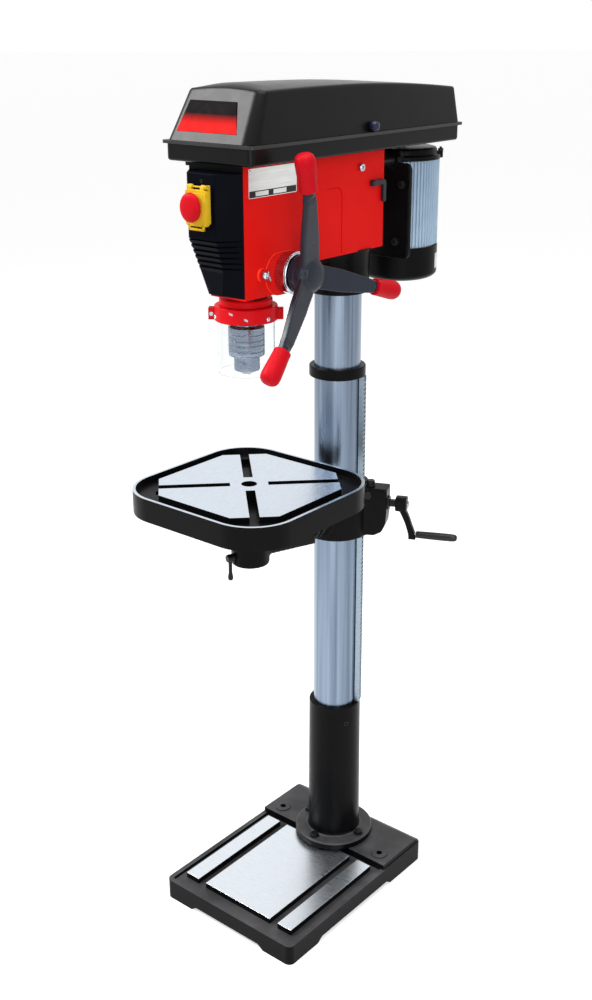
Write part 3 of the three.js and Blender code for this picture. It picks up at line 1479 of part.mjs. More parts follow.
function guardClamp() {
  const seat = guardClampBottomZ;
  const hole = quillRadius + fitGap;
  const neck = guardClampRadius - 2 * guardHolderLipThickness;
  const neckBottom = seat - guardHolderLipThickness - 2 * fitGap;
  const clamp = turned([
    [hole, neckBottom], [neck, neckBottom], [neck, seat], [guardClampRadius, seat],
    [guardClampRadius, guardClampTopZ], [hole, guardClampTopZ], [hole, neckBottom]], roundSides);
  return piece('guard_clamp', 'blackPaint', clamp);
}

function guardHolder() {
  const top = guardClampBottomZ - fitGap;
  const inner = eased(guardShieldRadius + fitGap, largeSides);
  const neck = eased(guardClampRadius - 2 * guardHolderLipThickness + fitGap, largeSides);
  const band = turned([
    [inner, guardHolderBottomZ], [guardHolderRadius, guardHolderBottomZ], [guardHolderRadius, top],
    [neck, top], [neck, top - guardHolderLipThickness],
    [inner, top - guardHolderLipThickness], [inner, guardHolderBottomZ]], largeSides);
  const tabs = [guardTabAngle, guardTabAngle + 180].map((turn) => around(block(
    guardHolderRadius - guardShieldWall, guardTabReach, -guardTabHalfWidth, guardTabHalfWidth,
    guardTabZ - guardTabHalfHeight, guardTabZ + guardTabHalfHeight), turn));
  return piece('guard_holder', 'redPlastic', join(band, ...tabs));
}

function guardShield() {
  return piece('guard_shield', 'clearPlastic',
    ring(guardShieldRadius - guardShieldWall, guardShieldRadius, guardShieldBottomZ,
      guardClampBottomZ - guardHolderLipThickness - 2 * fitGap, largeSides));
}

// Feed: the pinion shaft crosses the head. In the feed group local z points to +X.

function pinionShaft() {
  const pitchRadius = feedPinionPitchRadius;
  const tip = pitchRadius + feedPinionAddendum;
  const wheel = toothedWheel(feedPinionTeeth, tip - feedToothDepth, tip, feedToothRoot, feedToothTip,
    -feedPinionHalfWidth, feedPinionHalfWidth);
  const shaft = join(wheel.rotateZ(-Math.PI / 2),
    rod(pinionLeftRadius, -headHalfWidth - springCaseDepth + springCaseWall + fitGap, 0),
    rod(pitchRadius + feedModule, feedPinionHalfWidth, drumStartX - fitGap),
    rod(pinionDrumRadius, feedPinionHalfWidth, pinionEndX));
  return piece('pinion_shaft', 'steel', shaft);
}

function springCase() {
  const bottom = -headHalfWidth - springCaseDepth;
  const hole = eased(pinionLeftRadius + fitGap);
  const rim = springCaseRadius - springCaseWall;
  const wallTop = -headHalfWidth;
  const shell = turned([
    [0, bottom], [springCaseRadius - springCaseWall, bottom], [springCaseRadius, bottom + springCaseWall],
    [springCaseRadius, wallTop], [hole, wallTop], [hole, wallTop - springCaseWall],
    [rim, wallTop - springCaseWall], [rim, bottom + springCaseWall], [0, bottom + springCaseWall]]);
  return piece('spring_case', 'blackSheet', shell);
}

function depthDrum() {
  const hole = eased(pinionDrumRadius + fitGap, largeSides);
  const drum = turned([
    [hole, drumStartX], [drumRadius, drumStartX], [drumRadius, drumEndX - drumFlangeLength],
    [drumFlangeRadius, drumEndX], [hole, drumEndX], [hole, drumStartX]], largeSides);
  const tapping = around(boreX(drumScrewRadius + fitGap, 0, drumRadius + overrun, smallSides), drumScrewAngle)
    .translate(0, 0, (drumStartX + drumEndX) / 2);
  return piece('depth_drum', 'aluminium', cut(drum, tapping));
}

function depthLockScrew() {
  const start = pinionDrumRadius + fitGap;
  const screw = join(
    rodX(drumScrewRadius, start, drumRadius + drumScrewLength, smallSides),
    rodX(drumScrewHeadRadius, drumRadius + fitGap, drumRadius + drumScrewLength, smallSides));
  const mesh = piece('depth_lock_screw', 'steel', screw);
  mesh.rotation.z = drumScrewAngle * deg;
  mesh.position.z = (drumStartX + drumEndX) / 2;
  return mesh;
}

function handleArmLean(reach) {
  if (reach > handleArmBendReach) {
    const beyond = (reach - handleArmBendReach) / (handleArmReach - handleArmBendReach);
    return handleArmBendX - handleArmPlaneX + (handleArmTipX - handleArmBendX) * beyond;
  }
  const share = Math.max(0, (reach - handleHubRadius / 2) / (handleArmBendReach - handleHubRadius / 2));
  return (handleArmBendX - handleArmPlaneX) * share;
}

function handleArm() {
  const strip = new THREE.BoxGeometry(gripStart, 1, 2 * handleArmHalfThickness, handleArmSteps, 1, 1)
    .translate(gripStart / 2, 0, 0);
  return reshape(strip, (x, y, z) => {
    const narrowed = 1 - (1 - handleArmNeckShare) * x / gripStart;
    return [x, y * 2 * handleArmHalfWidth * narrowed, z + handleArmPlaneX + handleArmLean(x)];
  });
}

function gripAxis() {
  const startX = handleArmPlaneX + handleArmLean(gripStart);
  return new THREE.Vector3(handleArmReach - gripStart, 0, handleArmTipX - startX).normalize();
}

function onGripAxis(geometry) {
  const lean = Math.asin(gripAxis().z);
  return geometry.rotateY(Math.PI / 2 - lean)
    .translate(gripStart, 0, handleArmPlaneX + handleArmLean(gripStart));
}

function gripLength() {
  return (handleArmReach - gripStart) / gripAxis().x;
}

function armTurn(number) {
  return (90 + handleFirstArmAngle - 360 * number / handleArms) * deg;
}

function feedHandle() {
  const hole = eased(pinionDrumRadius + fitGap);
  const seat = pinionEndX + fitGap;
  const hub = turned([
    [0, seat], [hole, seat], [hole, handleHubStartX], [handleHubRadius, handleHubStartX],
    [handleHubRadius, handleHubEndX - handleCapHeight / 2], [handleCapRadius, handleHubEndX],
    [handleCapRadius / 2, handleHubEndX + handleCapHeight * (1 - handleCapEdgeShare)],
    [0, handleHubEndX + handleCapHeight]]);
  const pieces = [];
  for (let i = 0; i < handleArms; i += 1) {
    const arm = join(
      cut(handleArm(), rod(handleHubRadius / 2, handleHubStartX, handleArmTipX + overrun)),
      onGripAxis(rod(gripPinRadius, -overrun, gripLength() - gripPinEndWall - fitGap, smallSides)));
    pieces.push(arm.rotateZ(armTurn(i)));
  }
  return piece('feed_handle', 'armPaint', join(hub, ...pieces));
}

function feedGrip(number) {
  const end = gripLength();
  const sides = 2 * smallSides;
  const hole = eased(gripPinRadius + fitGap, sides);
  const start = handleArmHalfThickness * gripAxis().z + fitGap;
  const neck = gripRadius - gripNeckInset;
  const grip = turned([
    [hole, start], [neck, start], [gripRadius, start + gripNeckLength],
    [gripRadius, end - gripEndRound], [neck, end - gripEndRound / 4], [0, end],
    [0, end - gripPinEndWall], [hole, end - gripPinEndWall], [hole, start]], sides);
  const mesh = piece(`feed_grip_${number + 1}`, 'redPlastic', onGripAxis(grip));
  mesh.rotation.z = armTurn(number);
  return mesh;
}

function quillLockScrew() {
  const start = headHalfWidth + lockLugReach + fitGap;
  const screw = join(
    rodX(lockScrewRadius, lockScrewStartX, start + lockScrewHeadLength / 2, smallSides),
    rodX(lockScrewHeadRadius, start, start + lockScrewHeadLength, 2 * smallSides));
  const mesh = piece('quill_lock_screw', 'steel', screw);
  mesh.position.set(0, lockLugY, lockLugZ);
  return mesh;
}

// Drive: three stepped pulleys and two belts in the tray.

function steppedPulley(radii, shaft, bottom) {
  const hole = eased(shaft);
  const points = [[hole, bottom]];
  radii.forEach((radius, i) => {
    const z = bottom + i * pulleyStepHeight;
    points.push([radius, z], [radius - pulleyGrooveDepth, z + pulleyStepHeight / 2],
      [radius, z + pulleyStepHeight]);
  });
  points.push([hole, bottom + radii.length * pulleyStepHeight], [hole, bottom]);
  return turned(points, roundSides);
}

function spindlePulley() {
  const radii = [pulleySmallRadius, pulleyMiddleRadius, pulleyLargeRadius];
  const shaft = spindleRadius + fitGap;
  const sleeve = ring(shaft, pulleySleeveRadius, quillTopZ + overrun, pulleyBottomZ + fitGap);
  return piece('spindle_pulley', 'aluminium', join(steppedPulley(radii, shaft, pulleyBottomZ), sleeve));
}

function idlerPulley() {
  const radii = [pulleyLargeRadius, pulleyMiddleRadius, pulleySmallRadius];
  const wheel = steppedPulley(radii, idlerBoreRadius + fitGap, pulleyBottomZ);
  const mesh = piece('idler_pulley', 'aluminium', wheel);
  mesh.position.y = idlerY;
  return mesh;
}

function idlerArm() {
  const bar = block(-idlerArmHalfWidth, idlerArmHalfWidth, 0,
    Math.hypot(idlerPivotX, idlerY - idlerPivotY), idlerArmZ, idlerArmTopZ);
  const turn = Math.atan2(idlerPivotX, idlerY - idlerPivotY);
  bar.rotateZ(turn).translate(idlerPivotX, idlerPivotY, 0);
  const arm = join(bar,
    rod(idlerArmHalfWidth, idlerArmZ, idlerArmTopZ).translate(idlerPivotX, idlerPivotY, 0),
    rod(idlerArmHalfWidth, idlerArmZ, pulleyBottomZ - fitGap).translate(0, idlerY, 0),
    rod(idlerPivotRadius, idlerPivotBottomZ, idlerArmTopZ, smallSides).translate(idlerPivotX, idlerPivotY, 0),
    rod(idlerBoreRadius, idlerArmZ, pulleyTopZ + overrun).translate(0, idlerY, 0));
  return piece('idler_arm', 'darkSteel', arm);
}

// A belt round two equal pulleys, from y0 to y1, in the groove of the given step.
function belt(name, radius, step, y0, y1) {
  const inner = radius - beltSeat;
  const loop = (r) => {
    const shape = new THREE.Shape();
    shape.absarc(0, y1, r, 0, Math.PI, false);
    shape.absarc(0, y0, r, Math.PI, 2 * Math.PI, false);
    return shape;
  };
  const middle = pulleyBottomZ + (step + 0.5) * pulleyStepHeight;
  const z0 = middle - beltHeight / 2;
  const z1 = middle + beltHeight / 2;
  const hole = loop(eased(inner, 2 * beltArcSteps));
  const band = cut(plate(loop(inner + beltThickness), z0, z1, 1, beltArcSteps),
    plate(hole, z0 - overrun, z1 + overrun, 1, beltArcSteps));
  return piece(name, 'rubber', band);
}

function motorPulley() {
  const radii = [pulleyLargeRadius, pulleyMiddleRadius, pulleySmallRadius];
  const rotor = join(
    steppedPulley(radii, motorPulleyBore, pulleyBottomZ),
    rod(motorShaftRadius, motorShaftBottomZ, pulleyTopZ + overrun));
  return piece('motor_pulley', 'aluminium', rotor);
}

// Motor: finned body on its slide plate, with a domed fan cover below. Local z is the motor axis.

function motorFoot(plane) {
  return block(-motorFootHalfWidth, motorFootHalfWidth, plane, 0,
    motorFinBottomZ + motorFootInset, motorFinTopZ - motorFootInset);
}

function motorBody() {
  const points = [];
  for (let i = 0; i < motorFins; i += 1) {
    for (const [radius, share] of [
      [motorCoreRadius, -motorFinShare], [motorRadius, -motorFinShare / 2],
      [motorRadius, motorFinShare / 2], [motorCoreRadius, motorFinShare]]) {
      const turn = 2 * Math.PI * (i + share) / motorFins;
      points.push([radius * Math.cos(turn), radius * Math.sin(turn)]);
    }
  }
  const plane = slidePlateFrontY + slidePlateThickness + fitGap - motorY;
  const bell = turned([
    [0, motorFinTopZ - motorBellLap], [motorBellRadius, motorFinTopZ - motorBellLap],
    [motorBellRadius, motorTopZ - motorBellRound], [motorBellRadius - motorBellRound, motorTopZ],
    [0, motorTopZ]], largeSides);
  const lugTurns = [
    motorBackLugAngle, 180 - motorBackLugAngle, -motorFrontLugAngle, motorFrontLugAngle - 180];
  const lugs = lugTurns.map((turn) => around(
    block(motorCoreRadius, motorLugReach, -motorLugHalfWidth, motorLugHalfWidth,
      motorFinTopZ, motorFinTopZ + motorLugHeight), turn));
  const body = join(plate(outline(points), motorFinBottomZ, motorFinTopZ), bell, motorFoot(plane),
    ...lugs);
  const trimmed = cut(body, block(-2 * motorRadius, 2 * motorRadius, -2 * motorRadius, plane,
    motorFinBottomZ - overrun, motorTopZ + overrun));
  return piece('motor_body', 'motorPaint', cut(trimmed,
    bore(motorShaftRadius + fitGap, motorShaftBottomZ - fitGap, motorTopZ + overrun)));
}

function motorFanCover() {
  const top = motorFinBottomZ;
  const bottom = motorFanBottomZ;
  const rim = motorBellRadius;
  const wall = motorFanWall;
  const dome = (inset, zTop) => {
    const profile = [[motorFanVentRadius, bottom + inset]];
    for (let i = 0; i <= cornerSteps; i += 1) {
      const turn = (Math.PI / 2) * i / cornerSteps;
      profile.push([
        rim - inset - motorFanRoundWidth * (1 - Math.sin(turn)),
        bottom + inset + motorFanRoundHeight * (1 - Math.cos(turn))]);
    }
    profile.push([rim - inset, zTop]);
    return profile;
  };
  const outer = dome(0, top);
  const inner = dome(wall, top).reverse();
  return piece('motor_fan_cover', 'blackPaint', turned([...outer, ...inner, outer[0]], largeSides));
}

function motorSlide() {
  const plane = slidePlateFrontY;
  const back = plane + slidePlateThickness;
  const half = slidePlateHalfWidth;
  const edge = roundedRect(-half, half, slidePlateBottomZ, slidePlateTopZ, slidePlateCorner);
  const parts = [plateY(edge, plane, back)];
  for (const side of [-1, 1]) {
    parts.push(rodY(slideEarRadius, plane, back).translate(side * slideRodX, 0, slideRodZ));
    parts.push(rodY(slideRodRadius, slideRodFrontY, back).translate(side * slideRodX, 0, slideRodZ));
  }
  return piece('motor_slide', 'blackPaint', join(...parts));
}

function slideLockScrew() {
  const tip = slideRodX + slideRodRadius + fitGap;
  const screw = join(
    rodX(slideLockShankRadius, tip, headHalfWidth + slideLockHeadLength, smallSides),
    rodX(slideLockHeadRadius, headHalfWidth + fitGap, headHalfWidth + slideLockHeadLength, 2 * smallSides));
  const mesh = piece('slide_lock_screw', 'steel', screw);
  mesh.position.set(0, slideLockY, slideRodZ);
  return mesh;
}

function tensionLever() {
  const x0 = tensionLeverStartX;
  const x1 = x0 + tensionLeverThickness;
  const elbow = tensionLeverElbowY - tensionAxisY;
  const drop = tensionLeverEndZ - tensionAxisZ;
  const lever = join(
    rodX(tensionShaftRadius, tensionShaftStartX + fitGap, x1, smallSides),
    plateX(outline([
      [0, -tensionLeverHalfHeight], [elbow - tensionLeverTailWidth, -tensionLeverHalfHeight],
      [elbow - tensionLeverTailWidth, drop], [elbow, drop], [elbow, tensionLeverHalfHeight / 2],
      [elbow - tensionLeverHalfHeight, tensionLeverHalfHeight], [0, tensionLeverHalfHeight]]), x0, x1));
  const mesh = piece('tension_lever', 'armPaint', lever);
  mesh.position.set(0, tensionAxisY, tensionAxisZ);
  return mesh;
}

function list(count, make) {
  return Array.from({ length: count }, (unused, i) => make(i));
}

const crank = gather(rackBar(), liftGear(), wormShaft(), crankArm(), crankGrip());
crank.rotation.z = rackAngle * deg;

const table = gather(tableCasting(), tableLockLever());
table.position.y = spindleY;

const tableSide = gather(tableBracket(), columnClampLever(), crank, tableArm(), tiltBolt(), table);

const spindleLine = gather(quill(), spindle(), chuckBody(), chuckSleeve(), ...list(chuckJaws, chuckJaw),
  guardClamp(), guardHolder(), guardShield(), spindlePulley());
spindleLine.position.y = spindleY;

const feed = gather(pinionShaft(), springCase(), depthDrum(), depthLockScrew(), feedHandle(),
  ...list(handleArms, feedGrip));
feed.rotation.y = Math.PI / 2;
feed.position.set(0, pinionY, pinionZ);

const motor = gather(motorBody(), motorFanCover(), motorPulley());
motor.position.y = motorY;

const head = gather(headCasting(), frontCover(), switchHousing(), switchFlap(), stopButton(),
  pushButton('off_button', 'redPlastic', 0), pushButton('start_button', 'greenPlastic', -buttonSpacing),
  beltTray(), beltLid(), lidHingeRod(), lidKnob(), quillLockScrew(), spindleLine, feed,
  idlerArm(), idlerPulley(), belt('belt_front', pulleyMiddleRadius, 1, spindleY, idlerY),
  belt('belt_rear', pulleySmallRadius, 2, idlerY, motorY), motor, motorSlide(), slideLockScrew(),
  tensionLever());

const drill = gather(baseCasting(), columnSocket(), ...list(flangeBolts, flangeBolt), columnTube(),
  rackCollar(), tableSide, head);

// The origin is the middle of the box that the drill stands in, on the floor.
drill.updateMatrixWorld(true);
const extent = new THREE.Box3().setFromObject(drill, true);
const middle = extent.getCenter(new THREE.Vector3());
drill.position.set(-middle.x, -middle.y, 0);

export default drill;
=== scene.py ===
import math

import bmesh
import bpy
from mathutils import Matrix, Vector


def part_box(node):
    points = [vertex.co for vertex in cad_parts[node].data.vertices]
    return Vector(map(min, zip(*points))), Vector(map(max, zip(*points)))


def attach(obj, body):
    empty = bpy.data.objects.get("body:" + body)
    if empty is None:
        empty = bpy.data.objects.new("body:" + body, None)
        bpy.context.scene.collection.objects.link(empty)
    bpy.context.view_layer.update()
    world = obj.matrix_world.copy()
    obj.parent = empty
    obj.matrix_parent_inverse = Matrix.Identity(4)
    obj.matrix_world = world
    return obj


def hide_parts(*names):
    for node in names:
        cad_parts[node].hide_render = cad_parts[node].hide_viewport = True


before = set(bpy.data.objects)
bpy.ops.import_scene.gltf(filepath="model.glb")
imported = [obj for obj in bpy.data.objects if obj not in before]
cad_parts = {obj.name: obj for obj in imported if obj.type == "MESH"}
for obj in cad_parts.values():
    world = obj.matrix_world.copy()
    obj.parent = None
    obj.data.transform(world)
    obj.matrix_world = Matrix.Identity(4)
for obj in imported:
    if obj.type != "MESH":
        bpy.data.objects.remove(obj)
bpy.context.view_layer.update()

# Base. One iron casting in gloss black enamel, open below, standing on four feet with low arches
# between them. Three strips on its top are ground bright, with a bolt slot on each side of the
# middle one, and a raised plateau at the back carries the column.
column_low, column_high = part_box("column_tube")
column_axis = Vector(((column_low.x + column_high.x) / 2, (column_low.y + column_high.y) / 2, 0))
mm = 0.001


def span(node):
    """A node's box in millimetres from the column axis: x0, x1, y0, y1, z0, z1."""
    low, high = ((corner - column_axis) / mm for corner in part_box(node))
    return low.x, high.x, low.y, high.y, low.z, high.z


def slab(shape, x0, x1, y0, y1, z0, z1):
    """A square-edged block. Returns its vertices."""
    made = bmesh.ops.create_cube(shape, size=1)["verts"]
    bmesh.ops.scale(shape, vec=(x1 - x0, y1 - y0, z1 - z0), verts=made)
    bmesh.ops.translate(shape, vec=((x0 + x1) / 2, (y0 + y1) / 2, (z0 + z1) / 2), verts=made)
    return made


def eased(shape, edges, radius, steps):
    bmesh.ops.bevel(shape, geom=edges, offset=radius, segments=steps, affect="EDGES", profile=0.5, material=-1)


def round_corners(shape, verts, radius, steps, axis="z"):
    """Rounds the edges of a slab that run along one axis."""
    edges = dict.fromkeys(edge for vert in verts for edge in vert.link_edges)
    along = {"x": 0, "y": 1, "z": 2}[axis]
    upright = []
    for edge in edges:
        run = edge.verts[1].co - edge.verts[0].co
        if abs(run[along]) > 0.999 * run.length:
            upright.append(edge)
    eased(shape, upright, radius, steps)


def rounded_slab(shape, x0, x1, y0, y1, z0, z1, radius, steps=6, axis="z"):
    """A block with its edges along one axis rounded."""
    round_corners(shape, slab(shape, x0, x1, y0, y1, z0, z1), radius, steps, axis)


def at(x, y, z):
    return Matrix.Translation((x, y, z))


def about(degrees):
    """A turn round the upright."""
    return Matrix.Rotation(math.radians(degrees), 4, "Z")


def all_of(shape):
    return shape.verts[:] + shape.edges[:] + shape.faces[:]


def sliced(shape, place, normal, **more):
    """Cuts the faces of a shape along a plane."""
    bmesh.ops.bisect_plane(shape, geom=all_of(shape), plane_co=place, plane_no=normal, **more)


def turned(shape, profile, steps=64, place=Matrix.Identity(4)):
    """Spins a half section of (radius, height) points round z, as on a lathe, then sets its place."""
    line = [shape.verts.new((radius, 0, height)) for radius, height in profile]
    geometry = list(line)
    for a, b in zip(line, line[1:]):
        geometry.append(shape.edges.new((a, b)))
    if profile[0][0] > 0 and profile[-1][0] > 0:
        geometry.append(shape.edges.new((line[-1], line[0])))
    before = set(shape.verts) - set(line)
    bmesh.ops.spin(shape, geom=geometry, cent=(0, 0, 0), axis=(0, 0, 1), dvec=(0, 0, 0),
                   angle=2 * math.pi, steps=steps, use_merge=True)
    made = [vert for vert in shape.verts if vert not in before]
    bmesh.ops.remove_doubles(shape, verts=made, dist=1e-4)
    made = [vert for vert in shape.verts if vert not in before]
    faces = dict.fromkeys(face for vert in made for face in vert.link_faces)
    bmesh.ops.recalc_face_normals(shape, faces=list(faces))
    bmesh.ops.transform(shape, matrix=place, verts=made)
    return made


def rod(shape, radius, z0, z1, steps=32, place=Matrix.Identity(4)):
    """A plain round bar along z."""
    return turned(shape, [(0, z0), (radius, z0), (radius, z1), (0, z1)], steps, place)


def blank(shape):
    """A bmesh as a loose object, so that a modifier can work on it."""
    made = bpy.data.objects.new("blank", bpy.data.meshes.new("blank"))
    shape.to_mesh(made.data)
    bpy.context.scene.collection.objects.link(made)
    return made


def worked(shape, modifiers, others=()):
    """The shape after modifiers, as a new bmesh. The old one and the helpers are thrown away."""
    body = blank(shape)
    helpers = [blank(other) for other in others]
    for kind, settings in modifiers:
        modifier = body.modifiers.new(kind, kind)
        for name, value in settings.items():
            setattr(modifier, name, helpers[value] if name == "object" else value)
    result = bpy.data.meshes.new_from_object(body.evaluated_get(bpy.context.evaluated_depsgraph_get()))
    fresh = bmesh.new()
    fresh.from_mesh(result)
    bpy.data.meshes.remove(result)
    for item in (body, *helpers):
        mesh = item.data
        bpy.data.objects.remove(item)
        bpy.data.meshes.remove(mesh)
    for old in (shape, *others):
        old.free()
    return fresh


def carved(shape, cutter):
    """The shape less the cutter."""
    return worked(shape, [("BOOLEAN", {"operation": "DIFFERENCE", "solver": "EXACT", "use_self": True,
                                       "object": 0})], [cutter])


def piece(name, shape, body, nodes, finishes, edge=0.6, segments=2, sharp=35, choose=None):
    """Makes the finished object: metres, in place, with its edges broken and its finishes on."""
    bmesh.ops.transform(shape, matrix=Matrix.Translation(column_axis) @ Matrix.Scale(mm, 4),
                        verts=shape.verts)
    mesh = bpy.data.meshes.new(name)
    shape.to_mesh(mesh)
    shape.free()
    made = bpy.data.objects.new(name, mesh)
    bpy.context.scene.collection.objects.link(made)
    for finish in finishes:
        mesh.materials.append(finish)
    if choose:
        for face in mesh.polygons:
            centre = (face.center - column_axis) / mm
            face.material_index = choose(centre, face.normal)
    mesh.shade_smooth()
    if edge:
        bevel = made.modifiers.new("broken edge", "BEVEL")
        bevel.width = edge * mm
        bevel.segments = segments
        bevel.limit_method = "ANGLE"
        bevel.angle_limit = math.radians(sharp)
        bevel.use_clamp_overlap = True
        bevel.harden_normals = False
        even = made.modifiers.new("even shading", "WEIGHTED_NORMAL")
        even.keep_sharp = True
    else:
        mesh.set_sharp_from_angle(angle=math.radians(sharp))
    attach(made, body)
    if nodes:
        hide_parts(*nodes)
    return made


def new_finish(name):
    """An empty material: itself, its nodes, its shader and the object's own coordinates."""
    finish = bpy.data.materials.new(name)
    finish.use_nodes = True
    tree = finish.node_tree
    shader = tree.nodes["Principled BSDF"]
    place = tree.nodes.new("ShaderNodeTexCoord")
    return finish, tree, shader, place.outputs["Object"]


def speckle(tree, place, scale, detail=4, stretch=(1, 1, 1)):
    """Noise on the object's own coordinates; scale is in lumps to the metre."""
    fit = tree.nodes.new("ShaderNodeMapping")
    fit.inputs["Scale"].default_value = stretch
    noise = tree.nodes.new("ShaderNodeTexNoise")
    noise.inputs["Scale"].default_value = scale
    noise.inputs["Detail"].default_value = detail
    tree.links.new(place, fit.inputs["Vector"])
    tree.links.new(fit.outputs["Vector"], noise.inputs["Vector"])
    return noise.outputs["Fac"]


def graded(tree, source, low, high, start=0.3, end=0.7):
    """Turns noise into a range of values or colours."""
    ramp = tree.nodes.new("ShaderNodeValToRGB")
    ramp.color_ramp.elements[0].position = start
    ramp.color_ramp.elements[1].position = end
    ramp.color_ramp.elements[0].color = (*low, 1) if isinstance(low, tuple) else (low, low, low, 1)
    ramp.color_ramp.elements[1].color = (*high, 1) if isinstance(high, tuple) else (high, high, high, 1)
    tree.links.new(source, ramp.inputs["Fac"])
    return ramp.outputs["Color"]


def raised(tree, shader, source, height_mm):
    """Stands the noise up from the surface as a fine bump."""
    bump = tree.nodes.new("ShaderNodeBump")
    bump.inputs["Strength"].default_value = 1
    bump.inputs["Distance"].default_value = height_mm * mm
    tree.links.new(source, bump.inputs["Height"])
    tree.links.new(bump.outputs["Normal"], shader.inputs["Normal"])


def linear(red, green, blue):
    """A colour written as on screen, 0 to 255, as Blender's own values."""
    return tuple((c / 255 / 12.92) if c < 10.3 else ((c / 255 + 0.055) / 1.055) ** 2.4
                 for c in (red, green, blue))


def enamel(name, dark, light, gloss_low, gloss_high, peel_mm=0.04, grain=260, specular=0.35):
    """Sprayed enamel: two close tones, a fine orange peel and uneven gloss."""
    finish, tree, shader, place = new_finish(name)
    tree.links.new(graded(tree, speckle(tree, place, 14, 6), dark, light), shader.inputs["Base Color"])
    tree.links.new(graded(tree, speckle(tree, place, 45, 3), gloss_low, gloss_high), shader.inputs["Roughness"])
    raised(tree, shader, speckle(tree, place, grain, 3), peel_mm)
    shader.inputs["Specular IOR Level"].default_value = specular
    return finish


def ground_steel(name, dark, light, gloss_low, gloss_high, stretch, scale=60, cut_mm=0.012):
    """Bright steel with fine cutter or grinding marks that run across the stretched direction. Stretched long and
    broad, as on the column, the marks are painted reflection bands instead.
    """
    finish, tree, shader, place = new_finish(name)
    marks = speckle(tree, place, scale, 5, stretch)
    tree.links.new(graded(tree, marks, dark, light), shader.inputs["Base Color"])
    tree.links.new(graded(tree, marks, gloss_low, gloss_high), shader.inputs["Roughness"])
    raised(tree, shader, marks, cut_mm)
    shader.inputs["Metallic"].default_value = 1
    return finish


black_enamel_and_painted_shade = enamel("black_enamel_and_painted_shade", linear(10, 10, 11), linear(15, 15, 17), 0.27, 0.34, 0.008, specular=0.06)
ground_face = ground_steel("ground_face", linear(224, 230, 237), linear(234, 240, 246), 0.26, 0.32, (1, 12, 1),
                           40, 0.0005)

base_x0, base_x1, base_y0, base_y1, _, plateau_post = span("base_casting")
corner_radius = 14
rim_width = 11
rim_top = 45
channel_depth = 4.5
channel_slope = 2.5
iron_wall = 9
foot_height = 10
arch_slope = 14
front_foot = 74
side_foot_front = 90
side_foot_back = 118
plateau_top = 57
plateau_front = -43
back_slope = 21
floor_bolt_x = 140
floor_bolt_y = -14
pad_top = 53
pad_half = 148
pad_strip = 36
pad_slot = 21
pad_front = base_y0 + 35.5
pad_back = pad_front + 272

casting = bmesh.new()
walls = slab(casting, base_x0, base_x1, base_y0, base_y1, 0, rim_top)
round_corners(casting, walls, corner_radius, 6)
top_face = max(casting.faces, key=lambda face: face.calc_center_median().z)
bmesh.ops.inset_region(casting, faces=[top_face], thickness=rim_width)
bmesh.ops.inset_region(casting, faces=[top_face], thickness=channel_slope)
bmesh.ops.translate(casting, vec=(0, 0, -channel_depth), verts=top_face.verts)
bottom_face = min(casting.faces, key=lambda face: face.calc_center_median().z)
bmesh.ops.delete(casting, geom=[bottom_face], context="FACES_ONLY")
arch_x = base_x1 - front_foot
arch_y0 = base_y0 + side_foot_front
arch_y1 = base_y1 - side_foot_back
for normal, places in (((1, 0, 0), (-arch_x, arch_slope - arch_x, arch_x - arch_slope, arch_x)),
                       ((0, 1, 0), (arch_y0, arch_y0 + arch_slope, arch_y1 - arch_slope, arch_y1))):
    for place in places:
        sliced(casting, Vector(normal) * place, normal)
for vert in casting.verts:
    under_front = abs(vert.co.x) < arch_x - arch_slope + 1
    under_side = arch_y0 + arch_slope - 1 < vert.co.y < arch_y1 - arch_slope + 1
    if vert.co.z < 1 and (under_front or under_side):
        vert.co.z = foot_height
casting = worked(casting, [("SOLIDIFY", {"thickness": iron_wall, "offset": -1, "use_even_offset": True})])
for rib_x in (-58, 58):
    slab(casting, rib_x - 4, rib_x + 4, base_y0 + 6, base_y1 - 6, foot_height + 2, rim_top - 8)
for rib_y in (-210, -60):
    slab(casting, base_x0 + 6, base_x1 - 6, rib_y - 4, rib_y + 4, foot_height + 2, rim_top - 8)
# Painted sheen: upward faces of the base, its plateau and the socket flange get a lighter grey than the black
# enamel, standing in for light falling on them from above.
painted_top_sheen = enamel("painted_top_sheen", linear(46, 46, 48), linear(80, 80, 82), 0.34, 0.5, 0.01, 120, 0.25)
piece("base_walls", casting, "stand", ["base_casting"], [black_enamel_and_painted_shade, painted_top_sheen],
      edge=1.6, segments=3, choose=lambda centre, normal: int(normal.z > 0.9 and centre.z > rim_top - 9))

plateau = bmesh.new()
slab(plateau, base_x0 + 3, base_x1 - 3, plateau_front, base_y1, rim_top - 8, plateau_top)
corners = [edge for edge in plateau.edges if all(vert.co.y > 0 for vert in edge.verts)
           and abs(edge.verts[0].co.z - edge.verts[1].co.z) > 1]
eased(plateau, corners, corner_radius - 1, 6)
for depth in (back_slope, back_slope * 2 / 3, back_slope / 3):
    sliced(plateau, (0, base_y1 - depth, 0), (0, 1, 0))
for vert in plateau.verts:
    back = max(0, vert.co.y - (base_y1 - back_slope)) / back_slope
    if vert.co.z > plateau_top - 1:
        vert.co.z -= (plateau_top - rim_top) * back ** 1.6
for side in (-1, 1):
    turned(plateau, [(0, rim_top), (18, rim_top), (18, plateau_post - 1), (17, plateau_post),
                     (0, plateau_post)], 48, at(side * floor_bolt_x, floor_bolt_y, 0))
drills = bmesh.new()
for side in (-1, 1):
    rod(drills, 6.5, rim_top - 20, plateau_post + 5, 32, at(side * floor_bolt_x, floor_bolt_y, 0))
# The plateau's upward faces take the painted sheen.
piece("base_plateau", carved(plateau, drills), "stand", [], [black_enamel_and_painted_shade, painted_top_sheen],
      edge=1.2, choose=lambda centre, normal: int(normal.z > 0.6))

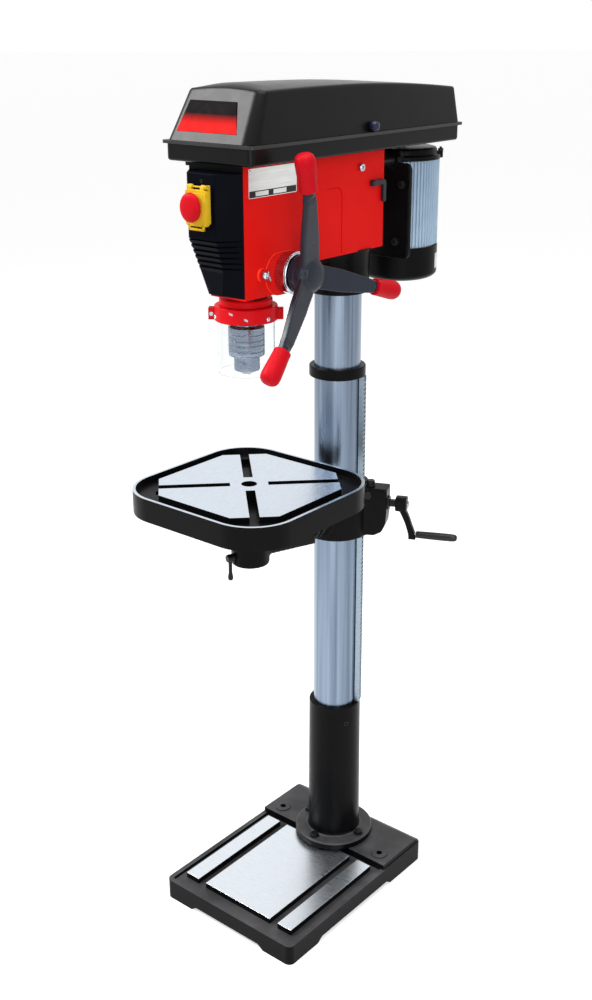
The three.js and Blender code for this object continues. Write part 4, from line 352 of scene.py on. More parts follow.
pads = bmesh.new()
strip_edge = pad_half - pad_strip
for x0, x1 in ((-pad_half, -strip_edge), (pad_slot - strip_edge, strip_edge - pad_slot), (strip_edge, pad_half)):
    slab(pads, x0, x1, pad_front, pad_back, rim_top - channel_depth - 2, pad_top)
piece("base_pads", pads, "stand", [], [black_enamel_and_painted_shade, ground_face], edge=0.5,
      choose=lambda centre, normal: int(normal.z > 0.5))

# Column socket. A tall tapered iron sleeve with a round flange, enamelled black, held to the base by
# four hexagon bolts with washers and to the column by one socket set screw.
black_steel = enamel("black_steel", linear(15, 15, 17), linear(24, 24, 27), 0.3, 0.42, 0.008, 500, 0.2)
zinc_steel = ground_steel("zinc_steel", linear(150, 156, 164), linear(196, 201, 208), 0.25, 0.4, (1, 1, 1), 120)
_, flange_radius, _, _, socket_floor, socket_top = span("column_socket")
flange_top = plateau_top + 15
socket_bore = 46.2
sleeve = bmesh.new()
fillet = [(57.6 + 14 * (1 - math.sin(t)) ** 2 * 0.6, flange_top + 15 * (1 - math.cos(t)))
          for t in (math.pi / 16 * i for i in range(9))]
turned(sleeve, [(socket_bore, socket_floor), (flange_radius, socket_floor), (flange_radius, flange_top - 3),
                (flange_radius - 3, flange_top), *fillet, (57.2, 110), (55.6, socket_top - 2),
                (54.4, socket_top), (socket_bore, socket_top)], 128)
# The flange's top faces take the painted sheen, a painted highlight ring.
piece("socket_sleeve", sleeve, "stand", ["column_socket"], [black_enamel_and_painted_shade, painted_top_sheen], edge=1,
      sharp=40, choose=lambda centre, normal: int(normal.z > 0.5 and centre.z < flange_top + 4))

bolt_circle = 71
for number in range(4):
    bolt = bmesh.new()
    place = about(90 * number) @ at(bolt_circle, 0, 0)
    turned(bolt, [(0, flange_top), (10.5, flange_top), (10.5, flange_top + 1.6), (10, flange_top + 2),
                  (0, flange_top + 2)], 40, place)
    turned(bolt, [(0, flange_top + 2), (9.4, flange_top + 2), (9.4, flange_top + 7), (8.2, flange_top + 8),
                  (0, flange_top + 8)], 6, place)
    piece(f"flange_bolt_head_{number + 1}", bolt, "stand", [f"flange_bolt_{number + 1}"], [black_steel],
          edge=0.3)
across = Matrix.Rotation(math.pi / 2, 4, "Y")
set_screw = bmesh.new()
turned(set_screw, [(0, 54), (5.5, 54), (5.5, 56.6), (4.6, 57.4), (3, 57.4), (3, 55), (0, 55)], 24,
       about(-26) @ at(0, 0, 360) @ across)
piece("socket_set_screw", set_screw, "stand", [], [black_steel], edge=0.2)

# Column. A seamless steel tube, ground bright from end to end. Long light and dark bands down its
# length are painted into its colour: painted reflections.
column_steel = ground_steel("column_steel", linear(92, 106, 124), linear(146, 160, 178), 0.24, 0.34,
                            (9, 9, 0.12), 9, 0.01)
column_radius = 46
column_bore = 41
column_foot, column_head = column_low.z / mm, column_high.z / mm
tube = bmesh.new()
turned(tube, [(column_bore, column_foot), (column_radius, column_foot), (column_radius, column_head),
              (column_bore, column_head)], 160)
piece("column_tube_ground", tube, "stand", ["column_tube"], [column_steel], edge=0.8)

# Rack and collar. The rack is a milled steel bar that hangs loose beside the column and turns round
# it with the table; the black iron collar above traps it, held by one set screw.
rack_steel = ground_steel("rack_steel", linear(120, 134, 146), linear(160, 174, 186), 0.3, 0.42, (1, 1, 14), 40)
rack_turn = 25
rack_pitch = 3 * math.pi
column_fit = 46.3
rack_root = 50.6
rack_face = 57
rack_foot = socket_top + 0.3
rack_head = 1130.7
rack_half = 10
tooth_half = 8.4
gear_z = 887
radial = about(rack_turn)
front_on = Matrix(((1, 0, 0, 0), (0, 0, -1, 0), (0, 1, 0, 0), (0, 0, 0, 1)))


def prism(shape, points, z0, z1, place=Matrix.Identity(4)):
    """A flat outline raised from z0 to z1, then set in its place."""
    corners = [shape.verts.new((a, b, z0)) for a, b in points]
    face = shape.faces.new(corners)
    extruded = bmesh.ops.extrude_face_region(shape, geom=[face])["geom"]
    top = [item for item in extruded if isinstance(item, bmesh.types.BMVert)]
    bmesh.ops.translate(shape, vec=(0, 0, z1 - z0), verts=top)
    made = corners + top
    faces = dict.fromkeys(face for vert in made for face in vert.link_faces)
    bmesh.ops.recalc_face_normals(shape, faces=list(faces))
    bmesh.ops.transform(shape, matrix=place, verts=made)
    return made


rack_bar = bmesh.new()
rack_rungs = [(column_fit, rack_foot), (rack_root, rack_foot)]
tooth_z = gear_z - rack_pitch * (math.floor((gear_z - rack_foot) / rack_pitch - 0.5) + 0.5)
while tooth_z < rack_head - 4.7:
    rack_rungs += [(rack_root, tooth_z - 2.3), (rack_face, tooth_z - 1.5), (rack_face, tooth_z + 1.5),
                   (rack_root, tooth_z + 2.3)]
    tooth_z += rack_pitch
rack_rungs += [(rack_root, rack_head), (column_fit, rack_head)]
prism(rack_bar, rack_rungs, -tooth_half, tooth_half, radial @ front_on)
for low, high in ((-rack_half, -tooth_half), (tooth_half, rack_half)):
    cheek = slab(rack_bar, column_fit, rack_face, low, high, rack_foot, rack_head)
    bmesh.ops.transform(rack_bar, matrix=radial, verts=cheek)
piece("rack_milled", rack_bar, "rack", ["rack_bar"], [rack_steel], edge=0.3, segments=1)
_, collar_radius, _, _, collar_bottom, collar_top = span("rack_collar")
collar = bmesh.new()
turned(collar, [(socket_bore, collar_bottom), (collar_radius - 1.5, collar_bottom),
                (collar_radius, collar_bottom + 1.5), (collar_radius, collar_top - 1.5),
                (collar_radius - 1.5, collar_top), (socket_bore, collar_top)], 128)
turned(collar, [(0, collar_radius - 2), (5, collar_radius - 2), (5, collar_radius + 0.6), (3, collar_radius + 0.6),
                (3, collar_radius - 1), (0, collar_radius - 1)], 24,
       about(-64) @ at(0, 0, (collar_bottom + collar_top) / 2) @ across)
piece("collar_ring", collar, "stand", ["rack_collar"], [black_enamel_and_painted_shade], edge=0.8)

# Table bracket. A black enamelled casting clamped round the column, with a housing at its side for
# the lift gear and its worm, two clamp lugs behind, and a round machined face in front.
bracket_bottom = 796
bracket_top = 905
bracket_radius = 68
housing_end = 109
housing_half = 22
worm_z = 867
tilt_z = 845
tilt_face = -92
lug_turn = 140
forward = Matrix.Rotation(math.pi / 2, 4, "X")


def cast(shape, voxel=2.4, rounds=7):
    """Fuses the overlapping lumps of a casting and softens their joins into fillets."""
    return worked(shape, [("REMESH", {"mode": "VOXEL", "voxel_size": voxel, "adaptivity": 0.0}),
                          ("SMOOTH", {"factor": 0.5, "iterations": rounds})])


bracket = bmesh.new()
rod(bracket, bracket_radius, bracket_bottom, bracket_top, 96)
prism(bracket, [(40, 799), (84, 799), (99, 807), (107, 824), (housing_end, 850), (housing_end, 901), (40, 901)],
      -housing_half, housing_half, radial @ front_on)
tilt_place = at(0, 0, tilt_z) @ forward
rod(bracket, 40, 0, -tilt_face, 64, tilt_place)
lug_z = (bracket_bottom + bracket_top) / 2
lugs = slab(bracket, 40, 98, -18, 18, lug_z - 30, lug_z + 30)
bmesh.ops.rotate(bracket, cent=(0, 0, 0), matrix=Matrix.Rotation(math.radians(lug_turn), 3, "Z"), verts=lugs)
bracket = cast(bracket)
bore = bmesh.new()
rod(bore, 46.4, bracket_bottom - 10, bracket_top + 10, 96)
bracket = carved(bracket, bore)
slits = bmesh.new()
slab(slits, 40, 62, -11, 11, bracket_bottom - 10, bracket_top + 10)
bmesh.ops.transform(slits, matrix=radial, verts=slits.verts)
slit = slab(slits, 30, 110, -2, 2, bracket_bottom - 10, bracket_top + 10)
bmesh.ops.rotate(slits, cent=(0, 0, 0), matrix=Matrix.Rotation(math.radians(lug_turn), 3, "Z"), verts=slit)
piece("bracket_casting", carved(bracket, slits), "bracket", ["table_bracket"], [black_enamel_and_painted_shade],
      edge=0, sharp=50)

cap = bmesh.new()
cap_place = radial @ at(72, 0, 0)
turned(cap, [(0, 899), (10, 899), (10, 903), (9, 904), (0, 904)], 32, cap_place)
turned(cap, [(0, 903), (8.6, 903), (8.6, 912), (7.4, 913), (0, 913)], 6, cap_place)
gear_pin = radial @ at(69, 0, gear_z) @ forward
for side in (-1, 1):
    turned(cap, [(0, side * 21), (9, side * 21), (9, side * 23.4), (7.6, side * 24.4), (0, side * 24.4)], 32,
           gear_pin)
bush = radial @ at(0, 0, worm_z) @ across
turned(cap, [(8.4, housing_end - 2), (15, housing_end - 2), (15, housing_end + 2), (13.6, housing_end + 3.4),
             (8.4, housing_end + 3.4)], 48, bush)
piece("bracket_cap_bolt", cap, "bracket", [], [black_steel], edge=0.3)

# Column clamp lever. A black steel bolt through the lugs with a bent handle and a ball end, which
# pinches the bracket on the column.
backward = Matrix.Rotation(-math.pi / 2, 4, "X")
lug_place = about(lug_turn) @ at(83, 0, lug_z)
clamp = bmesh.new()
turned(clamp, [(0, 18.3), (11, 18.3), (11, 30.8), (9.5, 32.3), (0, 32.3)], 40,
       lug_place @ backward)
turned(clamp, [(0, 6), (5, 6), (4.4, 70), (5.2, 75), (7.5, 76.5), (9.4, 79.5), (10, 84), (9.2, 88.6), (6.4, 92.2),
               (3, 93.7), (0, 94)], 40, lug_place @ at(0, 25.3, 0) @ across)
piece("clamp_handle", clamp, "clamp_lever", ["column_clamp_lever"], [black_steel], edge=0.3)

# Crank. A black cast arm on the worm shaft, curved out and down to a turned plastic grip that spins
# on its pin. Turning it walks the table up or down the rack.
black_plastic = enamel("black_plastic", linear(14, 15, 18), linear(22, 23, 27), 0.24, 0.32, 0.01, 700, 0.3)
crank_place = radial @ at(0, 0, worm_z)
hub_start = 125
hub_end = 148
hub_middle = 136.5
crank_throw = 65
crank_offset = 24
web_cuts = 12
grip_pin_place = crank_place @ at(0, 0, -crank_throw) @ across
crank = bmesh.new()
rounded_slab(crank, hub_start, hub_end, -13, 13, -15, 15, 7, 5, "x")
slab(crank, -15, 15, -7, 7, 0, 1)


def on_web(vert):
    """True for the arm's web, which is drawn one unit high before it is bent into its curve."""
    return abs(vert.co.x) < 16 and abs(vert.co.y) < 7.1 and -0.1 < vert.co.z < 1.1


for step in range(1, web_cuts):
    web = [item for item in all_of(crank)
           if all(on_web(vert) for vert in (item.verts if hasattr(item, "verts") else [item]))]
    bmesh.ops.bisect_plane(crank, geom=web, plane_co=(0, 0, step / web_cuts), plane_no=(0, 0, 1))
for vert in crank.verts:
    if on_web(vert):
        run = vert.co.z
        width = 11.5 - 4 * min(1, run * 2)
        middle = hub_middle + crank_offset * min(1, run * 1.15) ** 0.75
        side = 1 if vert.co.x > 0 else -1
        vert.co = Vector((middle + side * width * (0.62 + 0.38 * run), vert.co.y, -10 - crank_throw * run))
bmesh.ops.transform(crank, matrix=crank_place, verts=crank.verts)
crank = cast(crank, 1.4, 5)
piece("crank_casting", crank, "crank", ["crank_arm"], [black_enamel_and_painted_shade], edge=0, sharp=50)
crank_nut = bmesh.new()
turned(crank_nut, [(0, hub_end), (6.4, hub_end), (6.4, hub_end + 3), (5.4, hub_end + 4), (0, hub_end + 4)], 6,
       crank_place @ across)
rod(crank_nut, 4, 160, 248, 24, grip_pin_place)
piece("crank_pin", crank_nut, "crank", [], [zinc_steel], edge=0.2)
grip = bmesh.new()
turned(grip, [(4.4, 168.3), (6.2, 168.3), (7.1, 169.4), (7.3, 173), (7.7, 190), (8, 215), (7.9, 240), (7.2, 248),
              (5.4, 251.8), (2.6, 252.9), (0, 253), (0, 249), (4.4, 249)], 48, grip_pin_place)
piece("crank_handle_grip", grip, "crank_handle", ["crank_grip"], [black_plastic], edge=0.3)


def refinish(node, finish):
    """Gives a CAD part that shows as it is its finish."""
    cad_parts[node].data.materials.clear()
    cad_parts[node].data.materials.append(finish)


refinish("worm_shaft", black_steel)
refinish("lift_gear", rack_steel)

# Table arm. A channel casting in black enamel that tilts on the bracket's face about one big bolt and
# carries the table's stem in a round boss at its end.
side_on = Matrix(((0, 0, 1, 0), (1, 0, 0, 0), (0, 1, 0, 0), (0, 0, 0, 1)))
spindle_y = -268
spindle_place = at(0, spindle_y, 0)
stem_radius = 25
flange_front = tilt_face - 14.3
arm = bmesh.new()
prism(arm, [(flange_front + 2, 806), (flange_front + 2, 882), (spindle_y, 892), (spindle_y, 834)],
      -30, 30, side_on)
arm_hollow = bmesh.new()
prism(arm_hollow, [(flange_front + 1, 780), (flange_front + 1, 873), (spindle_y, 883), (spindle_y, 780)],
      -21, 21, side_on)
arm = carved(arm, arm_hollow)
rod(arm, 37, 814, 904, 96, spindle_place)
rod(arm, 38, -tilt_face + 0.3, -flange_front, 64, tilt_place)
arm = cast(arm, 2.4, 6)
stem_bore = bmesh.new()
rod(stem_bore, stem_radius + 0.4, 800, 920, 96, spindle_place)
piece("arm_casting", carved(arm, stem_bore), "arm", ["table_arm"], [black_enamel_and_painted_shade], edge=0,
      sharp=50)
tilt = bmesh.new()
washer = 2 - flange_front
rod(tilt, 15, -flange_front, washer, 48, tilt_place)
turned(tilt, [(0, washer), (13.6, washer), (13.6, washer + 7), (12, washer + 8), (0, washer + 8)], 6, tilt_place)
piece("tilt_bolt_head", tilt, "bracket", ["tilt_bolt"], [black_steel], edge=0.3)

# Table. A square iron casting with big round corners: a thin rim, a coolant channel inside it and a
# machined octagon level with the rim, cut by four diagonal bolt slots and a centre hole. Ribbed below.
table_half = 181
table_round = 89
table_top = 975
table_bottom = 930
rim_thick = 6
channel_drop = 12
under_wall = 9
face_half = 151
face_chamfer = 62
slot_width = 18
ground_table = ground_steel("ground_table", linear(206, 216, 228), linear(222, 230, 239), 0.26, 0.32, (14, 1, 1),
                            40, 0.0005)
pan = bmesh.new()
rounded_slab(pan, -table_half, table_half, spindle_y - table_half, spindle_y + table_half, table_bottom,
             table_top, table_round, 16)
top_face = max(pan.faces, key=lambda face: face.calc_center_median().z)
bmesh.ops.inset_region(pan, faces=[top_face], thickness=rim_thick, use_even_offset=True)
bmesh.ops.inset_region(pan, faces=[top_face], thickness=1.5, use_even_offset=True)
bmesh.ops.translate(pan, vec=(0, 0, -channel_drop), verts=top_face.verts)
bottom_face = min(pan.faces, key=lambda face: face.calc_center_median().z)
bmesh.ops.inset_region(pan, faces=[bottom_face], thickness=under_wall, use_even_offset=True)
bmesh.ops.inset_region(pan, faces=[bottom_face], thickness=2, use_even_offset=True)
bmesh.ops.translate(pan, vec=(0, 0, 21), verts=bottom_face.verts)
near = face_half - face_chamfer
octagon = [(-near, -face_half), (near, -face_half), (face_half, -near), (face_half, near), (near, face_half),
           (-near, face_half), (-face_half, near), (-face_half, -near)]
prism(pan, octagon, 958, table_top, spindle_place)
for turn in (0, 90):
    rib = slab(pan, -176, 176, -5, 5, table_bottom + 2, 955)
    bmesh.ops.transform(pan, matrix=spindle_place @ about(turn), verts=rib)
rod(pan, 56, 905, 955, 96, spindle_place)
turned(pan, [(0, 821), (stem_radius - 1, 821), (stem_radius, 822), (stem_radius, 910), (0, 910)], 96,
       spindle_place)
slots = bmesh.new()
slot_end = (face_half + near) / math.sqrt(2) + 6
for turn in (45, 135, 225, 315):
    slot = slab(slots, 36, slot_end, -slot_width / 2, slot_width / 2, 953, table_top + 5)
    bmesh.ops.transform(slots, matrix=spindle_place @ about(turn), verts=slot)
rod(slots, 15, 800, 990, 64, spindle_place)
piece("table_pan", carved(pan, slots), "table", ["table_casting"], [black_enamel_and_painted_shade, ground_table],
      edge=0.9, segments=3, choose=lambda centre, normal: int(normal.z > 0.9 and centre.z > table_top - 0.5))

# Table lock. A small black lever screw in the arm's boss. It bears on the table's stem and stops the
# table from turning.
lock_side = at(0, spindle_y, 832) @ about(-109)
lock = bmesh.new()
turned(lock, [(0, 37.3), (8, 37.3), (8, 49), (6.6, 51.3), (0, 51.3)], 32, lock_side @ across)
turned(lock, [(0, -46), (3.4, -45.4), (5, -43), (5.2, -38), (3.6, -30), (3.6, 0), (0, 0)], 32,
       lock_side @ at(44.3, 0, 0))
piece("table_lock_handle", lock, "table_lock", ["table_lock_lever"], [black_steel], edge=0.2)

# Head. A box casting in red enamel that slides over the column top. Its lower collar is left black,
# the pinion boss's edges carry a painted highlight in a brighter red, and a lug beside it takes
# the quill lock screw.
red_enamel = enamel("red_enamel", linear(224, 20, 16), linear(230, 24, 20), 0.36, 0.44, 0.004, 300, 0.06)
bright_screw = ground_steel("bright_screw", linear(170, 180, 190), linear(214, 222, 230), 0.18, 0.3, (1, 1, 1),
                            150)
head_front = -338
head_back = 58
head_half = 62
head_bottom = 1342
head_rear_bottom = 1384
head_top = 1569
head_wall = 8
barrel_bore = 30.4
shaft_bore = 16.4
slide_x = 42
slide_z = 1538
pinion_y = -226
pinion_z = 1377
feed_place = at(0, pinion_y, pinion_z) @ across

cheek_width = 44
cheek_depth = 52.5
cheek_height = 108
cheek_normal = Vector((1 / cheek_width, 1 / cheek_depth, 1 / cheek_height)).normalized()


def trim_cheek(shape, inward):
    """Cuts the nose's lower left corner off along a slanting plane, and closes the cut."""
    place = Vector((cheek_width - head_half, head_front, head_bottom)) + cheek_normal * inward
    sliced(shape, place, -cheek_normal, clear_outer=True)
    bmesh.ops.holes_fill(shape, edges=[edge for edge in shape.edges if edge.is_boundary], sides=0)
    bmesh.ops.recalc_face_normals(shape, faces=shape.faces)


shell = bmesh.new()
prism(shell, [(head_front, head_bottom), (-200, head_bottom), (-140, head_rear_bottom),
              (head_back, head_rear_bottom), (head_back, head_top), (head_front, head_top)],
      -head_half, head_half, side_on)
trim_cheek(shell, 0)
hollow = bmesh.new()
hollow_half = head_half - head_wall
above_head = 1600
slab(hollow, -hollow_half, hollow_half, head_front + head_wall, -300, head_bottom + head_wall, above_head)
trim_cheek(hollow, head_wall)
slab(hollow, -hollow_half, hollow_half, -196, head_back - head_wall, head_rear_bottom + head_wall, above_head)
rod(hollow, column_fit, 1200, 1490, 96)
rod(hollow, barrel_bore, 1300, above_head, 64, spindle_place)
rod(hollow, shaft_bore, -16.5, 80, 48, feed_place)
slab(hollow, -hollow_half, hollow_half, -240, -190, 1460, above_head)
for side in (-1, 1):
    rod(hollow, 9.4, -70, 80, 32, at(side * slide_x, 0, slide_z) @ backward)
step_y = -87
step_z = 1492
quarter = [math.pi / 16 * i for i in range(1, 8)]
groove = [(-118, 1507.6), (step_y, 1506.8)]
groove += [(step_y + 14.8 * math.sin(turn), step_z + 14.8 * math.cos(turn)) for turn in quarter]
groove += [(-72.2, step_z), (-72.2, 1388), (-69.4, 1388), (-69.4, step_z)]
groove += [(step_y + 17.6 * math.cos(turn), step_z + 17.6 * math.sin(turn)) for turn in quarter]
groove += [(step_y, 1509.6), (-118, 1508.4)]
prism(hollow, groove, head_half - 2.2, head_half + 3, side_on)
shell = carved(shell, hollow)
# Painted shadow: the head's front faces above the brow, between the cover and the tray, take the black enamel,
# standing in for the tray's shadow on the nose.
brow_z = 1554.5
sliced(shell, (0, 0, brow_z), (0, 0, 1))
piece("head_shell", shell, "stand", ["head_casting"], [red_enamel, black_enamel_and_painted_shade], edge=1.6,
      segments=3, sharp=40, choose=lambda centre, normal: int(normal.y < -0.3 and centre.z > brow_z - 0.5
                                                              and centre.y < head_front + 2))

boss = bmesh.new()
boss_radius = 38
boss_span = 22
half_round = [math.pi / 32 * i - math.pi / 2 for i in range(33)]
rim = [(pinion_y + boss_radius * math.cos(turn), pinion_z + boss_radius * math.sin(turn)) for turn in half_round]
rim += [(pinion_y - boss_span - boss_radius * math.cos(turn), pinion_z - boss_radius * math.sin(turn))
        for turn in half_round]
prism(boss, rim, head_half - 3, head_half + 1.6, side_on)
lug = slab(boss, head_half - 6, head_half + 4, -306, -284, 1371, 1393)
round_corners(boss, lug, 9, 6, "x")
shaft_way = bmesh.new()
rod(shaft_way, shaft_bore, 50, 80, 48, feed_place)
# Painted highlight: the boss's side and bevel faces get a brighter orange red than the red enamel, standing in for
# light on its rim.
painted_highlight_red = enamel("painted_highlight_red", linear(255, 74, 40), linear(255, 84, 50), 0.36, 0.44, 0.004, 300, 0.1)
piece("head_bosses", carved(boss, shaft_way), "stand", [], [red_enamel, painted_highlight_red], edge=1.4,
      segments=3, choose=lambda centre, normal: int(normal.x < 0.93))

collar_end = head_rear_bottom + 2
lower = bmesh.new()
turned(lower, [(column_fit, 1300), (58.5, 1300), (60, 1301.5), (60, 1352), (61.5, 1374), (66, collar_end),
               (column_fit, collar_end)], 128)
piece("head_collar", lower, "stand", [], [black_enamel_and_painted_shade], edge=0.8)

plate_front = -325
plate_back = -200
plate_low = 1513
plate_high = 1562
plate_finish = ground_steel("plate_finish", linear(206, 207, 206), linear(232, 232, 230), 0.34, 0.42, (1, 1, 12),
                            12)
plate_print = enamel("plate_print", linear(14, 14, 16), linear(24, 24, 26), 0.4, 0.5, 0.005, 600, 0.3)
label = bmesh.new()
rounded_slab(label, head_half - 0.5, head_half + 0.6, plate_front, plate_back, plate_low, plate_high, 2, 3, "x")
piece("data_plate", label, "stand", [], [plate_finish], edge=0.15)
band = bmesh.new()
slab(band, head_half + 0.5, head_half + 0.72, plate_front + 1.5, plate_back - 1.5, plate_low + 1.2,
     plate_low + 12)
piece("data_plate_band", band, "stand", [], [plate_print], edge=0.05)
boxes = bmesh.new()
for y0, y1 in ((plate_front + 17, plate_front + 50), (plate_front + 63, plate_front + 97)):
    slab(boxes, head_half + 0.6, head_half + 0.82, y0, y1, plate_low + 3, plate_low + 10.4)
piece("data_plate_boxes", boxes, "stand", [], [plate_finish], edge=0.05)
rivets = bmesh.new()
for y in (plate_front + 4, plate_back - 4):
    turned(rivets, [(0, 0), (1.8, 0), (1.6, 0.7), (0.9, 1.1), (0, 1.2)], 20,
           at(head_half + 0.5, y, plate_high - 4) @ across)
piece("data_plate_rivets", rivets, "stand", [], [bright_screw], edge=0)

# Quill lock screw. A bright wing screw in the lug in front of the pinion boss. Its point stops the
# quill.
wing = bmesh.new()
wing_place = at(0, -295, 1382) @ across
turned(wing, [(0, 60), (4, 60), (4, 66.3), (6.8, 66.3), (7.6, 68), (7.2, 73), (5.4, 76), (0, 76.6)], 32,
       wing_place)
for side in (-1, 1):
    fin = slab(wing, -1.6, 1.6, 0, 9.4, 68, 80)
    for vert in fin:
        if vert.co.y > 5:
            vert.co.x *= 0.7
            vert.co.z = max(vert.co.z + 1.5, 72)
    bmesh.ops.transform(wing, matrix=wing_place @ about(90 * side + 20), verts=fin)
piece("quill_wing_screw", wing, "quill_lock", ["quill_lock_screw"], [bright_screw], edge=0.5)

# Slide lock screw. A bright socket screw through the head's side. It bears on a rod of the motor slide
# and holds the belts' tension.
slide_screw = bmesh.new()
turned(slide_screw, [(0, 51.3), (4, 51.3), (4, 62.3), (7, 62.3), (7, 69), (6.2, 70), (3.6, 70), (3.6, 65),
                     (0, 65)], 40, at(0, -18, slide_z) @ across)
piece("slide_socket_screw", slide_screw, "slide_lock", ["slide_lock_screw"], [bright_screw], edge=0.3)

# Front cover. A moulded navy shell that closes the nose of the head: flat in front, splayed at the
# sides, with a bank of louvre ribs below the switch and a tapered tip.
navy_plastic = enamel("navy_plastic", linear(3, 4, 11), linear(6, 8, 17), 0.38, 0.46, 0.006, 500, 0.03)
cover_front = 375
cover_half = 32
ribs_top = 1446
ribs_fall = 58
rib_count = 6
rib_groove = 3.6
cover_levels = [(1556, cover_front - 2, cover_half - 1, head_half - 0.6),
                (1555, cover_front, cover_half, head_half), (ribs_top, cover_front, cover_half, head_half)]
for number in range(rib_count):
    share = number / rib_count
    following = (number + 1) / rib_count
    z = ribs_top - ribs_fall * share
    for drop, part, inward in ((1.6, share, rib_groove), (2.8, share, 0), (8.4, following, 0)):
        cover_levels.append((z - drop, cover_front - 22 * part - inward, cover_half - 4.5 * part - inward * 0.6,
                             head_half))
cover_levels += [(1387, 352.6, 27.2, head_half), (1346.5, 343.6, 15.6, head_half),
                 (1345, 342.4, 14.6, head_half - 0.6)]


def cover_ring(shape, z, front, half, back_half):
    """One level of the cover: its outline from the back corner round the front to the other one."""
    points = [(-back_half, head_front), (-half - 1.5, -front + 1.8), (-half + 1.5, -front), (half - 1.5, -front),
              (half + 1.5, -front + 1.8), (back_half, head_front)]
    verts = [shape.verts.new((x, y, z)) for x, y in points]
    return [shape.edges.new((a, b)) for a, b in zip(verts, verts[1:] + verts[:1])]


cover = bmesh.new()
rings = [cover_ring(cover, *level) for level in cover_levels]
for upper_ring, lower_ring in zip(rings, rings[1:]):
    bmesh.ops.bridge_loops(cover, edges=upper_ring + lower_ring)
bmesh.ops.contextual_create(cover, geom=rings[0])
bmesh.ops.contextual_create(cover, geom=rings[-1])
bmesh.ops.recalc_face_normals(cover, faces=cover.faces)
trim_cheek(cover, -2.5)
piece("front_cover_shell", cover, "stand", ["front_cover"], [navy_plastic], edge=1.1, segments=3,
      sharp=28)
keyhole = bmesh.new()
turned(keyhole, [(0, 0), (3.4, 0), (3.4, 0.7), (2.2, 0.7), (2.2, 0.2), (0, 0.2)], 24,
       at(2, -cover_front, 1543) @ forward)
piece("front_cover_screw", keyhole, "stand", [], [black_steel], edge=0)

# Switch. A yellow housing on the cover with a hinged flap over its two push buttons; a red mushroom
# on the flap stops the machine.
yellow_plastic = enamel("yellow_plastic", linear(208, 168, 28), linear(218, 180, 44), 0.4, 0.5, 0.004, 700, 0.08)
red_plastic = enamel("red_plastic", linear(186, 10, 24), linear(200, 14, 30), 0.4, 0.5, 0.004, 700, 0.08)
green_plastic = enamel("green_plastic", linear(20, 120, 66), linear(30, 142, 80), 0.3, 0.4, 0.01, 700, 0.4)
switch_half = 22
switch_front = -380
switch_back = -0.3 - cover_front
flap_half = 23.4
flap_back = switch_front - 0.3
flap_front = flap_back - 9
button_z = 1501.7
off_radius = 6.3
start_x = -17
start_radius = 3.8
hinge_y = -383.2
hinge_z = 1534.6
hinge_place = at(0, hinge_y, hinge_z) @ across
knuckle_x = 14
housing = bmesh.new()
rounded_slab(housing, -switch_half, switch_half, switch_front, switch_back, 1473, 1527, 3, 4, "y")
for side in (-1, 1):
    x0, x1 = sorted((side * (switch_half - 3.4), side * switch_half))
    slab(housing, x0, x1, switch_front, switch_back, 1520, 1537.4)
    rod(housing, 3.2, x0, x1, 24, hinge_place)
    slab(housing, x0, x1, hinge_y, switch_front + 1, 1531.6, 1537.7)
rod(housing, 1.4, -switch_half, switch_half, 16, hinge_place)
drill = bmesh.new()
for x, radius in ((0, off_radius), (start_x, start_radius)):
    rod(drill, radius + 0.4, 370, 390, 32, at(x, 0, button_z) @ forward)
piece("switch_box", carved(housing, drill), "stand", ["switch_housing"], [yellow_plastic],
      edge=0.5)

flap = bmesh.new()
rounded_slab(flap, -flap_half, flap_half, flap_front, flap_back, 1470, 1530, 5, 5, "y")
back_face = max(flap.faces, key=lambda item: item.calc_center_median().y)
bmesh.ops.inset_region(flap, faces=[back_face], thickness=2, use_even_offset=True)
bmesh.ops.translate(flap, vec=(0, flap_front - flap_back + 2, 0), verts=back_face.verts)
for side in (-1, 1):
    rod(flap, 3.6, side * knuckle_x - 4, side * knuckle_x + 4, 24, hinge_place)
    slab(flap, side * knuckle_x - 4, side * knuckle_x + 4, flap_front + 1, hinge_y, 1526, hinge_z)
    slab(flap, side * 16 - 1.6, side * 16 + 1.6, flap_front, flap_front + 4, 1464, 1474)
rounded_slab(flap, -17.6, 17.6, flap_front, flap_front + 4, 1463, 1467, 1.5, 3, "y")
rounded_slab(flap, -18.4, 18.4, flap_front - 1, flap_front + 1, 1477, 1525, 4, 4, "y")
rod(flap, 9, 388, 392.5, 40, at(0, 0, button_z) @ forward)
piece("switch_flap_cover", flap, "flap", ["switch_flap"], [yellow_plastic], edge=0.7,
      segments=3)

mushroom = bmesh.new()
turned(mushroom, [(0, 382), (5.8, 382), (5.8, 394), (20, 394), (24, 395), (24.75, 396.6), (24.75, 399),
                  (24, 401.6), (22, 403.6), (18.5, 405), (12, 405.8), (0, 406.1)], 96,
       at(0, 0, button_z) @ forward)
cap_narrowing = 0.88
cap_shift = -3
for vert in mushroom.verts:
    if vert.co.y < -392:
        vert.co.x = vert.co.x * cap_narrowing + cap_shift
piece("stop_mushroom", mushroom, "stop", ["stop_button"], [red_plastic], edge=0)
for name, body, node, x, radius, finish, slot in (
        ("off_push", "off", "off_button", 0, off_radius, red_plastic, "red_plastic"),
        ("start_push", "start", "start_button", start_x, start_radius, green_plastic, "green_plastic")):
    push = bmesh.new()
    turned(push, [(0, 378.4), (radius, 378.4), (radius, 382.6), (radius - 0.9, 383.5), (0, 383.5)], 40,
           at(x, 0, button_z) @ forward)
    piece(name, push, body, [node], [finish], edge=0.2)

# Belt tray. Pressed steel with a rolled lip, enamelled black and screwed to the head's top. Half of
# the lid's hinge knuckles are welded along its left edge.
black_sheet = enamel("black_sheet", linear(9, 9, 9), linear(13, 13, 13), 0.27, 0.31, 0.002, 320, 0.13)
